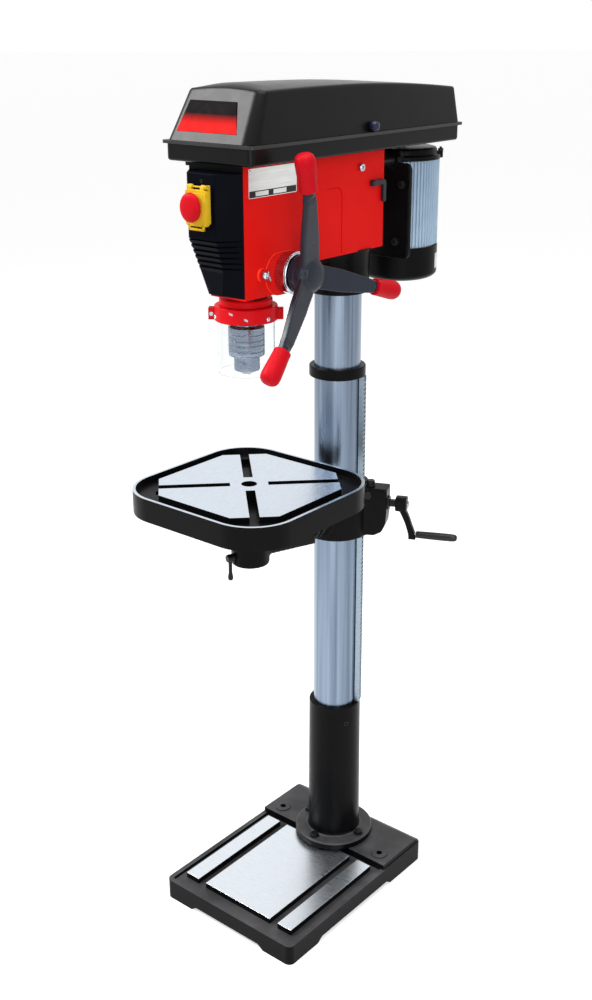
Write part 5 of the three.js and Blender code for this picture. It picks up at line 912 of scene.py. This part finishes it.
# Painted highlight: the lip's upper faces get a lighter grey than the black sheet, standing in for light caught
# along the rolled edge.
lip_painted_highlight = enamel("lip_painted_highlight", linear(30, 30, 31), linear(40, 40, 41), 0.3, 0.38, 0.004, 320, 0.35)
sheet = 2.4
lip_z = 1603
lip_drop = 5.4
pan_half = 97.6
pan_front = -358
pan_back = 258
lip_reach = 6
motor_y = 200
idler_y = -72
hinge_x = -108
lid_hinge = at(hinge_x, 0, lip_z) @ forward
knuckle_start = -260
knuckle_length = 105
knuckle_gap = 0.15
knuckles = [(knuckle_start + knuckle_length * number + knuckle_gap,
             knuckle_start + knuckle_length * (number + 1) - knuckle_gap) for number in range(4)]
tray = bmesh.new()
rounded_slab(tray, -pan_half, pan_half, pan_front, pan_back, head_top, lip_z - 0.4, 10)
eased(tray, [edge for edge in tray.edges if all(vert.co.z < head_top + 1 for vert in edge.verts)], 5, 4)
top_face = max(tray.faces, key=lambda item: item.calc_center_median().z)
bmesh.ops.delete(tray, geom=[top_face], context="FACES_ONLY")
tray = worked(tray, [("SOLIDIFY", {"thickness": sheet, "offset": -1, "use_even_offset": True})])
holes = bmesh.new()
rod(holes, 22, 1560, 1580, 64, spindle_place)
rod(holes, 24, 1560, 1580, 64, at(0, motor_y, 0))
slab(holes, -23.9, 23.9, 176, motor_y, 1560, 1580)
rod(holes, 14, 1560, 1580, 48, at(-22, -126, 0))
tray = carved(tray, holes)
rounded_slab(tray, -pan_half - lip_reach, pan_half + lip_reach, pan_front - lip_reach / 2,
             pan_back + lip_reach / 2, lip_z - lip_drop, lip_z, 6, 5)
rim_faces = [item for item in tray.faces if abs(item.normal.z) > 0.9 and len(item.verts) > 20
             and item.calc_center_median().z > lip_z - 6]
ring_edges = []
for item in rim_faces:
    bmesh.ops.inset_region(tray, faces=[item], thickness=7.6, use_even_offset=True)
    ring_edges += item.edges[:]
bmesh.ops.delete(tray, geom=rim_faces, context="FACES_ONLY")
bmesh.ops.bridge_loops(tray, edges=ring_edges)
for y0, y1 in knuckles[0::2]:
    rod(tray, 5.5, -y1, -y0, 32, lid_hinge)
    slab(tray, hinge_x, -101, y0, y1, lip_z - 4, lip_z - 0.5)
# The lip's upper faces take the painted highlight.
piece("tray_pan", tray, "stand", ["belt_tray"], [black_sheet, lip_painted_highlight], edge=1.2, segments=3,
      choose=lambda centre, normal: int(centre.z > lip_z - 3.6 and normal.z > -0.2))
tray_screws = bmesh.new()
turned(tray_screws, [(0, 1560), (3.6, 1560), (4.4, 1561), (4.4, head_top + 1), (0, head_top + 1)], 24,
       at(-72, -330, 0))
for x, y in ((-50, -140), (50, -140), (-50, 20), (50, 20)):
    turned(tray_screws, [(0, 1571), (7, 1571), (7, 1573.4), (5, 1575.6), (0, 1575.6)], 6, at(x, y, 0))
piece("tray_screws", tray_screws, "stand", [], [black_steel], edge=0.2)
hinge_rod = bmesh.new()
turned(hinge_rod, [(0, -163), (3, -163), (3, 261), (2.2, 263), (0, 263)], 24, lid_hinge)
piece("hinge_rod", hinge_rod, "stand", ["lid_hinge_rod"], [zinc_steel], edge=0)

# Lid. One deep pressing in black enamel, hinged at the left: its nose leans back, its sides draw in,
# and its crown falls gently towards the back.
lid_front = -355
lid_back = 255
lid_foot = lip_z + 0.4
lid_top = 1687
lid_half = 97
lid_draw = 13
lid_lean = 45
lid_length = lid_back - lid_front
lid_height = lid_top - lid_foot


def lid_edge(y):
    """Height of the lid's top edge: highest near its middle, falling away to the back."""
    return lid_top - (0.5 if y < -110 else 1.38) * ((y + 110) / 100) ** 2


lid = bmesh.new()
slab(lid, -lid_half, lid_half, 0, lid_length, 0, lid_height)
for at_nose, side, radius, steps in ((True, 1, 24, 10), (True, -1, 12, 6), (False, 1, 4, 4), (False, -1, 4, 4)):
    corners = [edge for edge in lid.edges if abs(edge.verts[0].co.z - edge.verts[1].co.z) > 1
               and all(vert.co.x * side > lid_half - 0.1 for vert in edge.verts)
               and all((vert.co.y < 1) if at_nose else (vert.co.y > lid_length - 1) for vert in edge.verts)]
    eased(lid, corners, radius, steps)
eased(lid, [edge for edge in lid.edges if all(vert.co.z > lid_height - 1 for vert in edge.verts)], 5, 4)
under = min(lid.faces, key=lambda item: item.calc_center_median().z)
bmesh.ops.delete(lid, geom=[under], context="FACES_ONLY")
for normal, places in (((0, 1, 0), [30 * i for i in range(1, 21)]), ((1, 0, 0), [12 * i for i in range(-7, 8)]),
                       ((0, 0, 1), [20, 40, 60])):
    for place in places:
        sliced(lid, Vector(normal) * place, normal)
bmesh.ops.remove_doubles(lid, verts=lid.verts, dist=0.02)
for vert in lid.verts:
    up = vert.co.z / lid_height
    x = vert.co.x * (1 - lid_draw / lid_half * up)
    y = lid_front + vert.co.y + lid_lean * up * max(0, 1 - vert.co.y / 90)
    crown = 10 * max(0.1, 1 - (y + 290) / 420) * max(0, 1 - (x / 82) ** 2) * min(1, max(0, y + 312) / 26) ** 0.6
    vert.co = Vector((x, y, lid_foot + (lid_edge(y) - lid_foot) * up + crown * max(0, up * 8 - 7)))
lid = worked(lid, [("SOLIDIFY", {"thickness": sheet, "offset": -1, "use_even_offset": False})])
for y0, y1 in knuckles[1::2]:
    rod(lid, 5.5, -y1, -y0, 32, lid_hinge)
    slab(lid, hinge_x, -95.5, y0, y1, lip_z + 0.6, lip_z + 4)
piece("lid_pressing", lid, "lid", ["belt_lid"], [black_sheet], edge=0, sharp=40)

# Panel on the lid's nose. A thin pressed plate, let in flush and left blank: its enamel runs from red
# at the foot to black at the top.
badge_red, tree, shader, place = new_finish("badge_red")
height = tree.nodes.new("ShaderNodeSeparateXYZ")
tree.links.new(place, height.inputs[0])
fade = tree.nodes.new("ShaderNodeMapRange")
fade.inputs["From Min"].default_value = 1.622
fade.inputs["From Max"].default_value = 1.652
tree.links.new(height.outputs["Z"], fade.inputs["Value"])
tree.links.new(graded(tree, fade.outputs["Result"], linear(222, 26, 24), linear(12, 8, 9), 0.15, 0.85),
               shader.inputs["Base Color"])
tree.links.new(graded(tree, speckle(tree, place, 60, 3), 0.56, 0.66), shader.inputs["Roughness"])
shader.inputs["Specular IOR Level"].default_value = 0.04
nose_turn = math.atan2(lid_lean, lid_height)
nose_place = at(0, lid_front, lid_foot) @ Matrix.Rotation(-nose_turn, 4, "X")
badge = bmesh.new()
prism(badge, [(-79, 16.6), (57, 16.6), (36, 72.3), (-70, 72.3)], -1.2, 0.9, nose_place @ front_on)
piece("lid_badge_blank", badge, "lid", [], [badge_red], edge=0.4)

# Lid knob. A turned knob of dark blue plastic in the lid's right wall. A quarter turn draws the lid
# shut on the tray.
blue_plastic = enamel("blue_plastic", linear(14, 18, 40), linear(22, 28, 56), 0.28, 0.38, 0.006, 700, 0.35)
knob = bmesh.new()
turned(knob, [(0, 84), (4, 84), (4, 97), (8.6, 97), (9.6, 98.4), (10, 101), (9.4, 106), (7.6, 109.6), (4, 111.4),
              (0, 112)], 64, at(0, -30, 1613.5) @ across)
piece("lid_turn_knob", knob, "lid_latch", ["lid_knob"], [blue_plastic], edge=0)

# Motor. A totally enclosed motor: a cast body with fine cooling fins in blue-grey enamel between a
# black end bell with four bolt lugs above and a deep domed fan cover with a vent grille below.
motor_paint = enamel("motor_paint", linear(166, 188, 208), linear(184, 204, 221), 0.36, 0.46, 0.006, 400, 0.2)
fin_bottom = 1366
fin_top = 1533
fin_count = 64
motor_place = at(0, motor_y, 0)


def repeated(shape, verts, count):
    """Copies a lump round z until there are as many as counted."""
    lump = list(verts) + [edge for edge in shape.edges if all(vert in verts for vert in edge.verts)]
    lump += [face for face in shape.faces if all(vert in verts for vert in face.verts)]
    bmesh.ops.spin(shape, geom=lump, cent=(0, 0, 0), axis=(0, 0, 1), dvec=(0, 0, 0),
                   angle=2 * math.pi * (count - 1) / count, steps=count - 1, use_duplicate=True)


motor = bmesh.new()
rod(motor, 72, fin_bottom - 1, fin_top, 128)
fin = slab(motor, 70, 77, -0.9, 0.9, fin_bottom + 1.5, fin_top)
for vert in fin:
    if vert.co.x > 76:
        vert.co.y *= 0.7
repeated(motor, fin, fin_count)
bmesh.ops.transform(motor, matrix=motor_place, verts=motor.verts)
sliced(motor, (0, 124, 0), (0, -1, 0), clear_outer=True)
bmesh.ops.holes_fill(motor, edges=[edge for edge in motor.edges if edge.is_boundary], sides=0)
slab(motor, -52, 52, 120.4, 140, fin_bottom + 15, fin_top - 15)
piece("motor_fins", motor, "motor", ["motor_body"], [motor_paint], edge=0.25, segments=1)

bell = bmesh.new()
turned(bell, [(10, fin_top), (78, fin_top), (78, fin_top + 7), (76.5, fin_top + 9), (72.5, fin_top + 9.6),
              (71.5, fin_top + 12), (71, 1551.5), (69, 1554.8), (65, 1556), (10, 1556)], 128, motor_place)
ear_turns = (44, 120, -55, -125)
for turn in ear_turns:
    rounded_slab(bell, 68, 84, -7, 7, fin_top, 1546, 5, 4)
    ear = [vert for vert in bell.verts if vert.co.x > 67 and abs(vert.co.y) < 7.1
           and fin_top - 1 < vert.co.z < 1547 and vert.co.z not in (fin_top + 7, fin_top + 9)]
    bmesh.ops.transform(bell, matrix=motor_place @ about(turn), verts=ear)
piece("motor_end_bell", bell, "motor", [], [black_enamel_and_painted_shade], edge=0.8)
studs = bmesh.new()
for turn in ear_turns:
    seat = motor_place @ about(turn) @ at(79.5, 0, 0)
    turned(studs, [(0, 1545.6), (5.6, 1545.6), (5.6, 1550), (4.8, 1550.8), (0, 1550.8)], 6, seat)
    turned(studs, [(0, 1550), (2.6, 1550), (2.6, 1553.4), (2, 1554), (0, 1554)], 20, seat)
piece("motor_stud_nuts", studs, "motor", [], [black_steel], edge=0.2)

fan_bottom = 1297
fan = bmesh.new()
dome = [(78 - 29 * (1 - math.sin(t)), fan_bottom + 15 * (1 - math.cos(t)))
        for t in (math.pi / 24 * i for i in range(13))]
turned(fan, [(20, fan_bottom), *dome, (78, 1364), (77, 1365), (74.5, 1365), (74.5, 1316), (50, fan_bottom + 3),
             (20, fan_bottom + 3)], 128, motor_place)
vents = bmesh.new()
rounded_slab(vents, 26, 60, -1.9, 1.9, 1290, 1306, 1.8, 3)
repeated(vents, vents.verts[:], 24)
bmesh.ops.transform(vents, matrix=motor_place, verts=vents.verts)
piece("fan_cover", carved(fan, vents), "motor", ["motor_fan_cover"], [black_enamel_and_painted_shade], edge=0.7)
blades = bmesh.new()
rod(blades, 22, 1301, 1312, 48)
repeated(blades, slab(blades, 20, 68, -1, 1, 1322, 1350), 7)
rod(blades, 70, 1350, 1353, 64)
rod(blades, 12, 1310, 1368, 32)
bmesh.ops.transform(blades, matrix=motor_place, verts=blades.verts)
piece("cooling_fan", blades, "motor", [], [black_plastic], edge=0.3)
tag = bmesh.new()
for number in range(7):
    slat = slab(tag, 77.6, 78.5, -3, 3, 1319, 1349)
    bmesh.ops.transform(tag, matrix=motor_place @ about(17 + 4.2 * number), verts=slat)
piece("motor_blank_label", tag, "motor", [], [plate_finish], edge=0.1)

# Motor slide. A black iron plate behind the head that carries the motor; two ground rods slide in the
# head's top, and the tension lever draws the plate forward.
plate_y0 = 110
plate_y1 = 120
slide = bmesh.new()
rounded_slab(slide, -85, 85, plate_y0, plate_y1, 1352, 1534, 12, 6, "y")
for side in (-1, 1):
    rod(slide, 15, -plate_y1, -plate_y0, 64, at(side * slide_x, 0, slide_z) @ forward)
wall = [item for item in slide.faces if item.normal.y < -0.9 and item.calc_area() > 9000]
bmesh.ops.inset_region(slide, faces=wall, thickness=7)
bmesh.ops.translate(slide, vec=(0, 3, 0), verts=[vert for item in wall for vert in item.verts])
piece("slide_plate", slide, "motor", ["motor_slide"], [black_enamel_and_painted_shade], edge=2, segments=4)
rods = bmesh.new()
for side in (-1, 1):
    turned(rods, [(0, -plate_y1), (9, -plate_y1), (9, 28.5), (7.8, 30), (0, 30)], 48,
           at(side * slide_x, 0, slide_z) @ forward)
piece("slide_rods", rods, "motor", [], [black_steel], edge=0)
plate_bolts = bmesh.new()
for x, z in ((68, 1495), (-68, 1495), (56, 1385), (-56, 1385)):
    seat = at(x, 0, z) @ forward
    rod(plate_bolts, 8.6, -plate_y0, -108.4, 32, seat)
    turned(plate_bolts, [(0, -108.4), (7.2, -108.4), (7.2, -104.4), (6.2, -103.4), (0, -103.4)], 6, seat)
piece("slide_plate_bolts", plate_bolts, "motor", [], [black_steel], edge=0.2)
gland = bmesh.new()
turned(gland, [(0, 12), (11, 12), (11, 18), (9.4, 19), (9.4, 28), (7.4, 31), (5, 31), (5, 24), (0, 24)], 40,
       at(-60, motor_y, 1352) @ about(200) @ across)
piece("cable_gland", gland, "motor", [], [black_plastic], edge=0.4)

# Tension lever. A dark painted crank on a shaft through the head; swinging it shifts the motor slide
# and slackens or tightens the belts.
arm_paint = enamel("arm_paint", linear(26, 31, 41), linear(34, 40, 52), 0.27, 0.35, 0.006, 260, 0.25)
tension = bmesh.new()
turned(tension, [(0, 60), (6, 60), (6, 70), (5, 71), (0, 71)], 32, at(0, 20, 1506) @ across)
prism(tension, [(14, 1501.5), (47.5, 1501.5), (47.5, 1472), (50, 1469), (54, 1469), (56.5, 1472), (56.5, 1507),
                (52, 1511), (14, 1511), (12, 1506)], 63.5, 69.5, side_on)
piece("tension_crank", tension, "tension", ["tension_lever"], [arm_paint], edge=2, segments=4)

# Drive. Three cast aluminium step pulleys and two rubber V-belts inside the tray. The middle pulley
# turns on a steel arm that is pinned to the head's top.
cast_aluminium = ground_steel("cast_aluminium", linear(176, 180, 185), linear(206, 209, 213), 0.3, 0.44,
                              (1, 1, 10), 60)
rubber = enamel("rubber", linear(18, 18, 18), linear(30, 30, 30), 0.7, 0.85, 0.03, 900, 0.2)
pulley_foot = 1598
step_height = 16
small_step, middle_step, large_step = 32, 40, 48
groove_depth = 12


def step_pulley(shape, radii, bore, place):
    """A cone pulley seen in half section: each step is a V groove between two rounded rims."""
    section = [(bore, pulley_foot)]
    for number, radius in enumerate(radii):
        z = pulley_foot + step_height * number
        section += [(radius - 1, z), (radius, z + 1), (radius, z + 2.2), (radius - groove_depth, z + 5.5),
                    (radius - groove_depth, z + 10.5), (radius, z + 13.8), (radius, z + 15),
                    (radius - 1, z + step_height)]
    section.append((bore, pulley_foot + step_height * len(radii)))
    turned(shape, section, 96, place)


for name, body, node, radii, bore, y in (
        ("spindle_cone", "drive_pulley", "spindle_pulley", (small_step, middle_step, large_step), 10.4, spindle_y),
        ("idler_cone", "idler", "idler_pulley", (large_step, middle_step, small_step), 8.4, idler_y),
        ("motor_cone", "rotor", "motor_pulley", (large_step, middle_step, small_step), 0, motor_y)):
    cone = bmesh.new()
    here = at(0, y, 0)
    step_pulley(cone, radii, bore, here)
    if node == "spindle_pulley":
        turned(cone, [(10.4, 1520.3), (16, 1520.3), (16, 1600), (10.4, 1600)], 48, here)
    if node == "motor_pulley":
        rod(cone, 9.4, 1400.3, 1651, 48, here)
    piece(name, cone, body, [node], [cast_aluminium], edge=0.3)

for name, node, radius, number, y0, y1 in (("belt_to_spindle", "belt_front", middle_step, 1, spindle_y, idler_y),
                                           ("belt_to_motor", "belt_rear", small_step, 2, idler_y, motor_y)):
    belt = bmesh.new()
    z = pulley_foot + step_height * (number + 0.5)
    outer = radius + 0.8
    inner = radius - 5.2
    turned(belt, [(inner, z - 2.6), (outer, z - 4), (outer, z + 4), (inner, z + 2.6)], 64)
    for side in (-1, 1):
        sliced(belt, (0, 0.001 * side, 0), (0, 1, 0))
    for vert in belt.verts:
        vert.co.y += y1 if vert.co.y > 0 else y0
    piece(name, belt, "stand", [node], [rubber], edge=0.4)

refinish("idler_arm", black_steel)

# Quill and spindle. The ground steel quill slides in the head with a feed rack cut in its back. The
# spindle turns in it, and the pinion shaft drives it up and down.
quill_steel = ground_steel("quill_steel", linear(168, 175, 183), linear(204, 210, 217), 0.2, 0.32, (1, 1, 22), 30)
for node in ("quill", "spindle", "pinion_shaft", "chuck_jaw_1", "chuck_jaw_2", "chuck_jaw_3"):
    refinish(node, quill_steel)

# Chuck. A keyed chuck in bright steel: a body with three jaw holes and three key holes, and a knurled
# sleeve with gear teeth round its lower edge.
chuck_steel = ground_steel("chuck_steel", linear(112, 122, 136), linear(150, 160, 175), 0.22, 0.32, (1, 1, 20),
                           40, 0.001)
chuck_low = 1193
chuck_high = 1290
sleeve_low = 1225
sleeve_high = 1282
core = bmesh.new()
turned(core, [(0, chuck_low), (12.6, chuck_low), (14, 1194.2), (23, 1198), (23.5, 1200), (23.5, sleeve_low),
              (25, sleeve_low), (25, sleeve_high), (24, 1284), (20, 1289), (19, chuck_high), (0, chuck_high)],
       96)
cuts = bmesh.new()
rod(cuts, 7, 1180, 1240, 40)
for number in range(3):
    turn = about(120 * number)
    rod(cuts, 3.8, -12, 56, 24, turn @ at(4.6, 0, 1190) @ Matrix.Rotation(math.radians(15), 4, "Y"))
    rod(cuts, 3.5, 17.5, 30, 24, about(60) @ turn @ at(0, 0, 1215) @ across)
core = carved(core, cuts)
bmesh.ops.transform(core, matrix=spindle_place, verts=core.verts)
piece("chuck_core", core, "spindle", ["chuck_body"], [chuck_steel], edge=0.3)
sleeve = bmesh.new()
wall = []
for z in (1236, 1247, 1256, 1267):
    wall += [(33, z - 1.3), (32, z - 0.6), (32, z + 0.6), (33, z + 1.3)]
turned(sleeve, [(25.4, sleeve_low), (30, sleeve_low), (33, 1229.5), *wall, (33, 1278), (29.5, sleeve_high),
                (25.4, sleeve_high)], 120)
tooth = slab(sleeve, 29.4, 32.6, -1, 1, sleeve_low + 0.4, sleeve_low + 5)
for vert in tooth:
    if vert.co.x > 32:
        vert.co.z += 0.6
        vert.co.y *= 0.6
repeated(sleeve, tooth, 36)
bmesh.ops.transform(sleeve, matrix=spindle_place, verts=sleeve.verts)
piece("chuck_ring_sleeve", sleeve, "chuck_ring", ["chuck_sleeve"], [chuck_steel], edge=0.2)

# Chuck guard. A clear polycarbonate tube in a red plastic band that swings on a ring clamped to the
# quill; the band has a tab and a screwed clamp ear.
clear_guard, tree, shader, place = new_finish("clear_guard")
tree.links.new(graded(tree, speckle(tree, place, 30, 3), (0.93, 0.95, 0.96), (0.98, 0.99, 1.0)),
               shader.inputs["Base Color"])
tree.links.new(graded(tree, speckle(tree, place, 60, 3), 0.03, 0.09), shader.inputs["Roughness"])
shader.inputs["Transmission Weight"].default_value = 1
shader.inputs["IOR"].default_value = 1.2
guard_red = enamel("guard_red", linear(206, 14, 24), linear(216, 20, 30), 0.36, 0.46, 0.004, 500, 0.08)
clamp_ring = bmesh.new()
turned(clamp_ring, [(30.4, 1312.4), (38, 1312.4), (38, 1318), (46.5, 1318), (48, 1319.5), (48, 1329), (46.5, 1331),
                    (38, 1331), (38, 1336), (30.4, 1336)], 96, spindle_place)
piece("guard_clamp_ring", clamp_ring, "quill", ["guard_clamp"], [guard_red, black_steel], edge=0.4,
      choose=lambda centre, normal: int(centre.z > 1331.2))
band = bmesh.new()
turned(band, [(52.4, 1291), (56, 1291), (57, 1292), (57, 1316.7), (56, 1317.7), (38.4, 1317.7), (38.4, 1312.7),
              (52.4, 1312.7)], 96)
for turn, fingers in ((38, ((-9, 9),)), (218, ((-8.6, -4), (4, 8.6)))):
    for low, high in fingers:
        rounded_slab(band, 54, 67, low, high, 1291.5, 1312.5, 4, 4, "x")
    tab = [vert for vert in band.verts if abs(vert.co.y) < 9.1 and vert.co.x > 53.9
           and (vert.co.x < 54.1 or vert.co.x > 60)]
    bmesh.ops.transform(band, matrix=about(turn), verts=tab)
bmesh.ops.transform(band, matrix=spindle_place, verts=band.verts)
piece("guard_band", band, "guard", ["guard_holder"], [guard_red], edge=0.8, segments=3)
shield_bore = 50
shield_radius = 52
shield = bmesh.new()
turned(shield, [(shield_bore, 1195), (shield_radius, 1195), (shield_radius, 1312.4), (shield_bore, 1312.4)],
       128, spindle_place)
piece("guard_tube", shield, "guard", ["guard_shield"], [clear_guard], edge=0.4)
guard_screws = bmesh.new()
for turn in (-122, -5, 85):
    seat = spindle_place @ about(turn) @ at(0, 0, 1299) @ across
    turned(guard_screws, [(0, 56), (4.2, 56), (4, 58), (2.6, 59.2), (0, 59.6)], 28, seat)
seat = spindle_place @ about(218) @ at(62, 0, 1302) @ forward
turned(guard_screws, [(0, -9), (3.6, -9), (3.6, 9), (5, 9), (5, 12.4), (4, 13), (0, 13)], 24, seat)
spring_bar = slab(guard_screws, 53, 58.4, -17, 17, -2, 2)
for vert in spring_bar:
    vert.co.x -= 2.4 * (abs(vert.co.y) / 17) ** 2
    vert.co.z -= vert.co.y * 0.35
bmesh.ops.transform(guard_screws, matrix=spindle_place @ about(-62) @ at(0, 0, 1306), verts=spring_bar)
piece("guard_screws", guard_screws, "guard", [], [bright_screw], edge=0.2)

# Feed hub. The depth drum is turned and polished, with red marks round it and a thumb screw that
# holds it. On the head's other side a pressed case covers the return spring.
scale_red = enamel("scale_red", linear(196, 22, 30), linear(212, 32, 40), 0.35, 0.45, 0.004, 700, 0.4)
polished_steel = ground_steel("polished_steel", linear(172, 177, 187), linear(204, 208, 216), 0.1, 0.18,
                              (1, 1, 6), 20, 0.002)
drum = bmesh.new()
turned(drum, [(11.4, 64), (37.2, 64), (37.4, 64.3), (37.4, 83), (38, 83.4), (38, 85), (36, 85.6), (36, 87),
              (35, 88), (11.4, 88)], 128, feed_place)
piece("depth_drum_body", drum, "depth_ring", ["depth_drum"], [polished_steel], edge=0.3)
ticks = bmesh.new()
tick_count = 40
for number in range(tick_count):
    length = 8 if number % 5 == 0 else 4
    mark = slab(ticks, 37.2, 37.6, -0.3, 0.3, 66, 66 + length)
    bmesh.ops.transform(ticks, matrix=feed_place @ about(360 / tick_count * number), verts=mark)
piece("depth_drum_scale", ticks, "depth_ring", [], [scale_red], edge=0)
drum_screw = bmesh.new()
turned(drum_screw, [(0, 12), (3.5, 12), (3.5, 38.3), (6.2, 38.3), (7, 39.2), (7, 50.8), (6.2, 52), (0, 52)], 36,
       feed_place @ at(0, 0, 76) @ backward)
piece("drum_thumb_screw", drum_screw, "depth_screw", ["depth_lock_screw"], [bright_screw], edge=0.2)
spring = bmesh.new()
turned(spring, [(0, -88), (26, -88), (29, -87.2), (30, -85), (30, -62), (0, -62)], 96, feed_place)
turned(spring, [(0, -92), (7, -92), (8, -91), (8, -88), (0, -88)], 6, feed_place)
piece("return_spring_case", spring, "stand", ["spring_case"], [black_sheet], edge=0.4)

# Feed handle. Three cast arms, flat and broad at the hub and bent outwards at the ends, in dark
# enamel, with a domed cap over the hub nut and a red plastic grip on each arm.
bend_start = 16.5
bend_reach = 135
bend_rise = 26
tip_rise = 5.5
tip_run = 85
grip_start = 154
first_arm = 195
arm_widths = [(6, 21), (35, 21), (70, 20), (104, 16.5), (140, 12.6), (grip_start + 4, 9)]


def lean(reach):
    """How far an arm stands out from its plane: straight to the bend, then nearly level."""
    inner = bend_rise * max(0, (min(reach, bend_reach) - bend_start) / (bend_reach - bend_start))
    return inner + tip_rise * max(0, reach - bend_reach) / tip_run


handle = bmesh.new()
turned(handle, [(0, 88.6), (32, 88.6), (33, 89.6), (33, 102), (32.2, 103), (32.2, 104), (33, 105), (33, 116),
                (31.5, 119), (27.5, 120.6), (27, 123), (25, 127), (20, 129.8), (12, 131.4), (0, 132)], 96)
grip_place = at(grip_start, 0, 116 + lean(grip_start)) @ Matrix.Rotation(
    math.pi / 2 - math.atan2(tip_rise, tip_run), 4, "Y")
for number in range(3):
    strip = bmesh.new()
    slab(strip, 6, grip_start + 3, -1, 1, 110, 122)
    for place in range(14, grip_start, 7):
        sliced(strip, (place, 0, 0), (1, 0, 0))
    for vert in strip.verts:
        near = max(pair for pair in arm_widths if pair[0] <= vert.co.x + 0.01)
        far = min(pair for pair in arm_widths if pair[0] > vert.co.x + 0.01)
        vert.co.y *= near[1] + (far[1] - near[1]) * (vert.co.x - near[0]) / (far[0] - near[0])
        vert.co.z += lean(vert.co.x)
    rod(strip, 9, -8, 0, 32, grip_place)
    rod(strip, 6, -2, 58, 32, grip_place)
    bmesh.ops.transform(strip, matrix=about(first_arm - 120 * number), verts=strip.verts)
    loose = bpy.data.meshes.new("strip")
    strip.to_mesh(loose)
    strip.free()
    handle.from_mesh(loose)
    bpy.data.meshes.remove(loose)
bmesh.ops.transform(handle, matrix=feed_place, verts=handle.verts)
handle = cast(handle, 1.5, 4)
shaft_hole = bmesh.new()
rod(shaft_hole, 11.4, 80, 112.4, 48, feed_place)
piece("feed_arms", carved(handle, shaft_hole), "feed", ["feed_handle"], [arm_paint], edge=0,
      sharp=60)
for number in range(3):
    grip = bmesh.new()
    turned(grip, [(6.4, 0.6), (14.4, 0.6), (15.5, 1.8), (15.7, 10), (17.5, 38), (18, 50), (17.5, 56), (15.8, 60.5),
                  (12.5, 63.8), (8, 65.6), (0, 66), (0, 60), (6.4, 60)], 64,
           feed_place @ about(first_arm - 120 * number) @ grip_place)
    piece(f"feed_arm_grip_{number + 1}", grip, "feed", [f"feed_grip_{number + 1}"], [red_plastic],
          edge=0)

# Studio. A pale floor under soft lamps, with a white surround that metal and glass can reflect too,
# seen by a camera at the height and angle of the photograph.
floor_size = 60


def seen_directly(tree):
    """1 where the camera, a mirror or glass looks at a surface, and 0 where its light falls on things."""
    ray = tree.nodes.new("ShaderNodeLightPath")
    seen = ray.outputs["Is Camera Ray"]
    for kind in ("Is Transmission Ray", "Is Glossy Ray"):
        larger = tree.nodes.new("ShaderNodeMath")
        larger.operation = "MAXIMUM"
        tree.links.new(seen, larger.inputs[0])
        tree.links.new(ray.outputs[kind], larger.inputs[1])
        seen = larger.outputs[0]
    return seen


def lifted(tree, low, high, socket):
    """Sets a strength to one value for light and to another where it is seen directly."""
    strength = tree.nodes.new("ShaderNodeMapRange")
    strength.inputs["To Min"].default_value = low
    strength.inputs["To Max"].default_value = high
    tree.links.new(seen_directly(tree), strength.inputs["Value"])
    tree.links.new(strength.outputs["Result"], socket)


floor_mesh = bmesh.new()
bmesh.ops.create_grid(floor_mesh, x_segments=1, y_segments=1, size=floor_size)
floor = bpy.data.objects.new("floor", bpy.data.meshes.new("floor"))
floor_mesh.to_mesh(floor.data)
floor_mesh.free()
bpy.context.scene.collection.objects.link(floor)
floor_finish, tree, shader, place = new_finish("white_floor")
shader.inputs["Base Color"].default_value = (0.9, 0.9, 0.9, 1)
shader.inputs["Roughness"].default_value = 0.85
shader.inputs["Specular IOR Level"].default_value = 0.1
shader.inputs["Emission Color"].default_value = (1, 1, 1, 1)
lifted(tree, 0, 0.5, shader.inputs["Emission Strength"])
floor.data.materials.append(floor_finish)

world = bpy.data.worlds.new("studio")
world.use_nodes = True
bpy.context.scene.world = world
background = world.node_tree.nodes["Background"]
background.inputs["Color"].default_value = (1, 1, 1, 1)
lifted(world.node_tree, 0.5, 1, background.inputs["Strength"])


def soft_light(name, place, aim, size, power):
    lamp = bpy.data.lights.new(name, "AREA")
    lamp.shape = "RECTANGLE"
    lamp.size, lamp.size_y = size
    lamp.energy = power
    made = bpy.data.objects.new(name, lamp)
    made.location = place
    made.rotation_euler = (Vector(aim) - Vector(place)).to_track_quat("-Z", "Y").to_euler()
    bpy.context.scene.collection.objects.link(made)


middle = column_axis + Vector((0, -0.1, 0.9))
soft_light("key", middle + Vector((-2.1, -1.65, 2.45)), middle + Vector((0, 0, 0.4)), (1.0, 1.2), 92)
soft_light("fill", middle + Vector((2.3, -2.1, 1.1)), middle, (1.6, 2.2), 36)
soft_light("top", middle + Vector((0.2, -0.3, 2.6)), middle, (1.8, 1.8), 40)

camera_place = Vector((1498.73, -1926.09, 1806.2))
yaw, pitch, roll = (math.radians(angle) for angle in (39.848, 21.157, -0.224))
ahead = Vector((-math.sin(yaw) * math.cos(pitch), math.cos(yaw) * math.cos(pitch), -math.sin(pitch)))
right = Vector((math.cos(yaw), math.sin(yaw), 0))
up = right.cross(ahead)
camera = bpy.data.objects.new("camera", bpy.data.cameras.new("camera"))
camera_turn = Matrix((right * math.cos(roll) + up * math.sin(roll),
                      up * math.cos(roll) - right * math.sin(roll), -ahead)).transposed()
camera.matrix_world = Matrix.Translation(column_axis + camera_place * mm) @ camera_turn.to_4x4()
camera.data.sensor_fit = "VERTICAL"
camera.data.sensor_height = 36
camera.data.lens = 45.4885
camera.data.clip_end = floor_size
bpy.context.scene.collection.objects.link(camera)
bpy.context.scene.camera = camera
bpy.context.scene.view_settings.view_transform = "Standard"
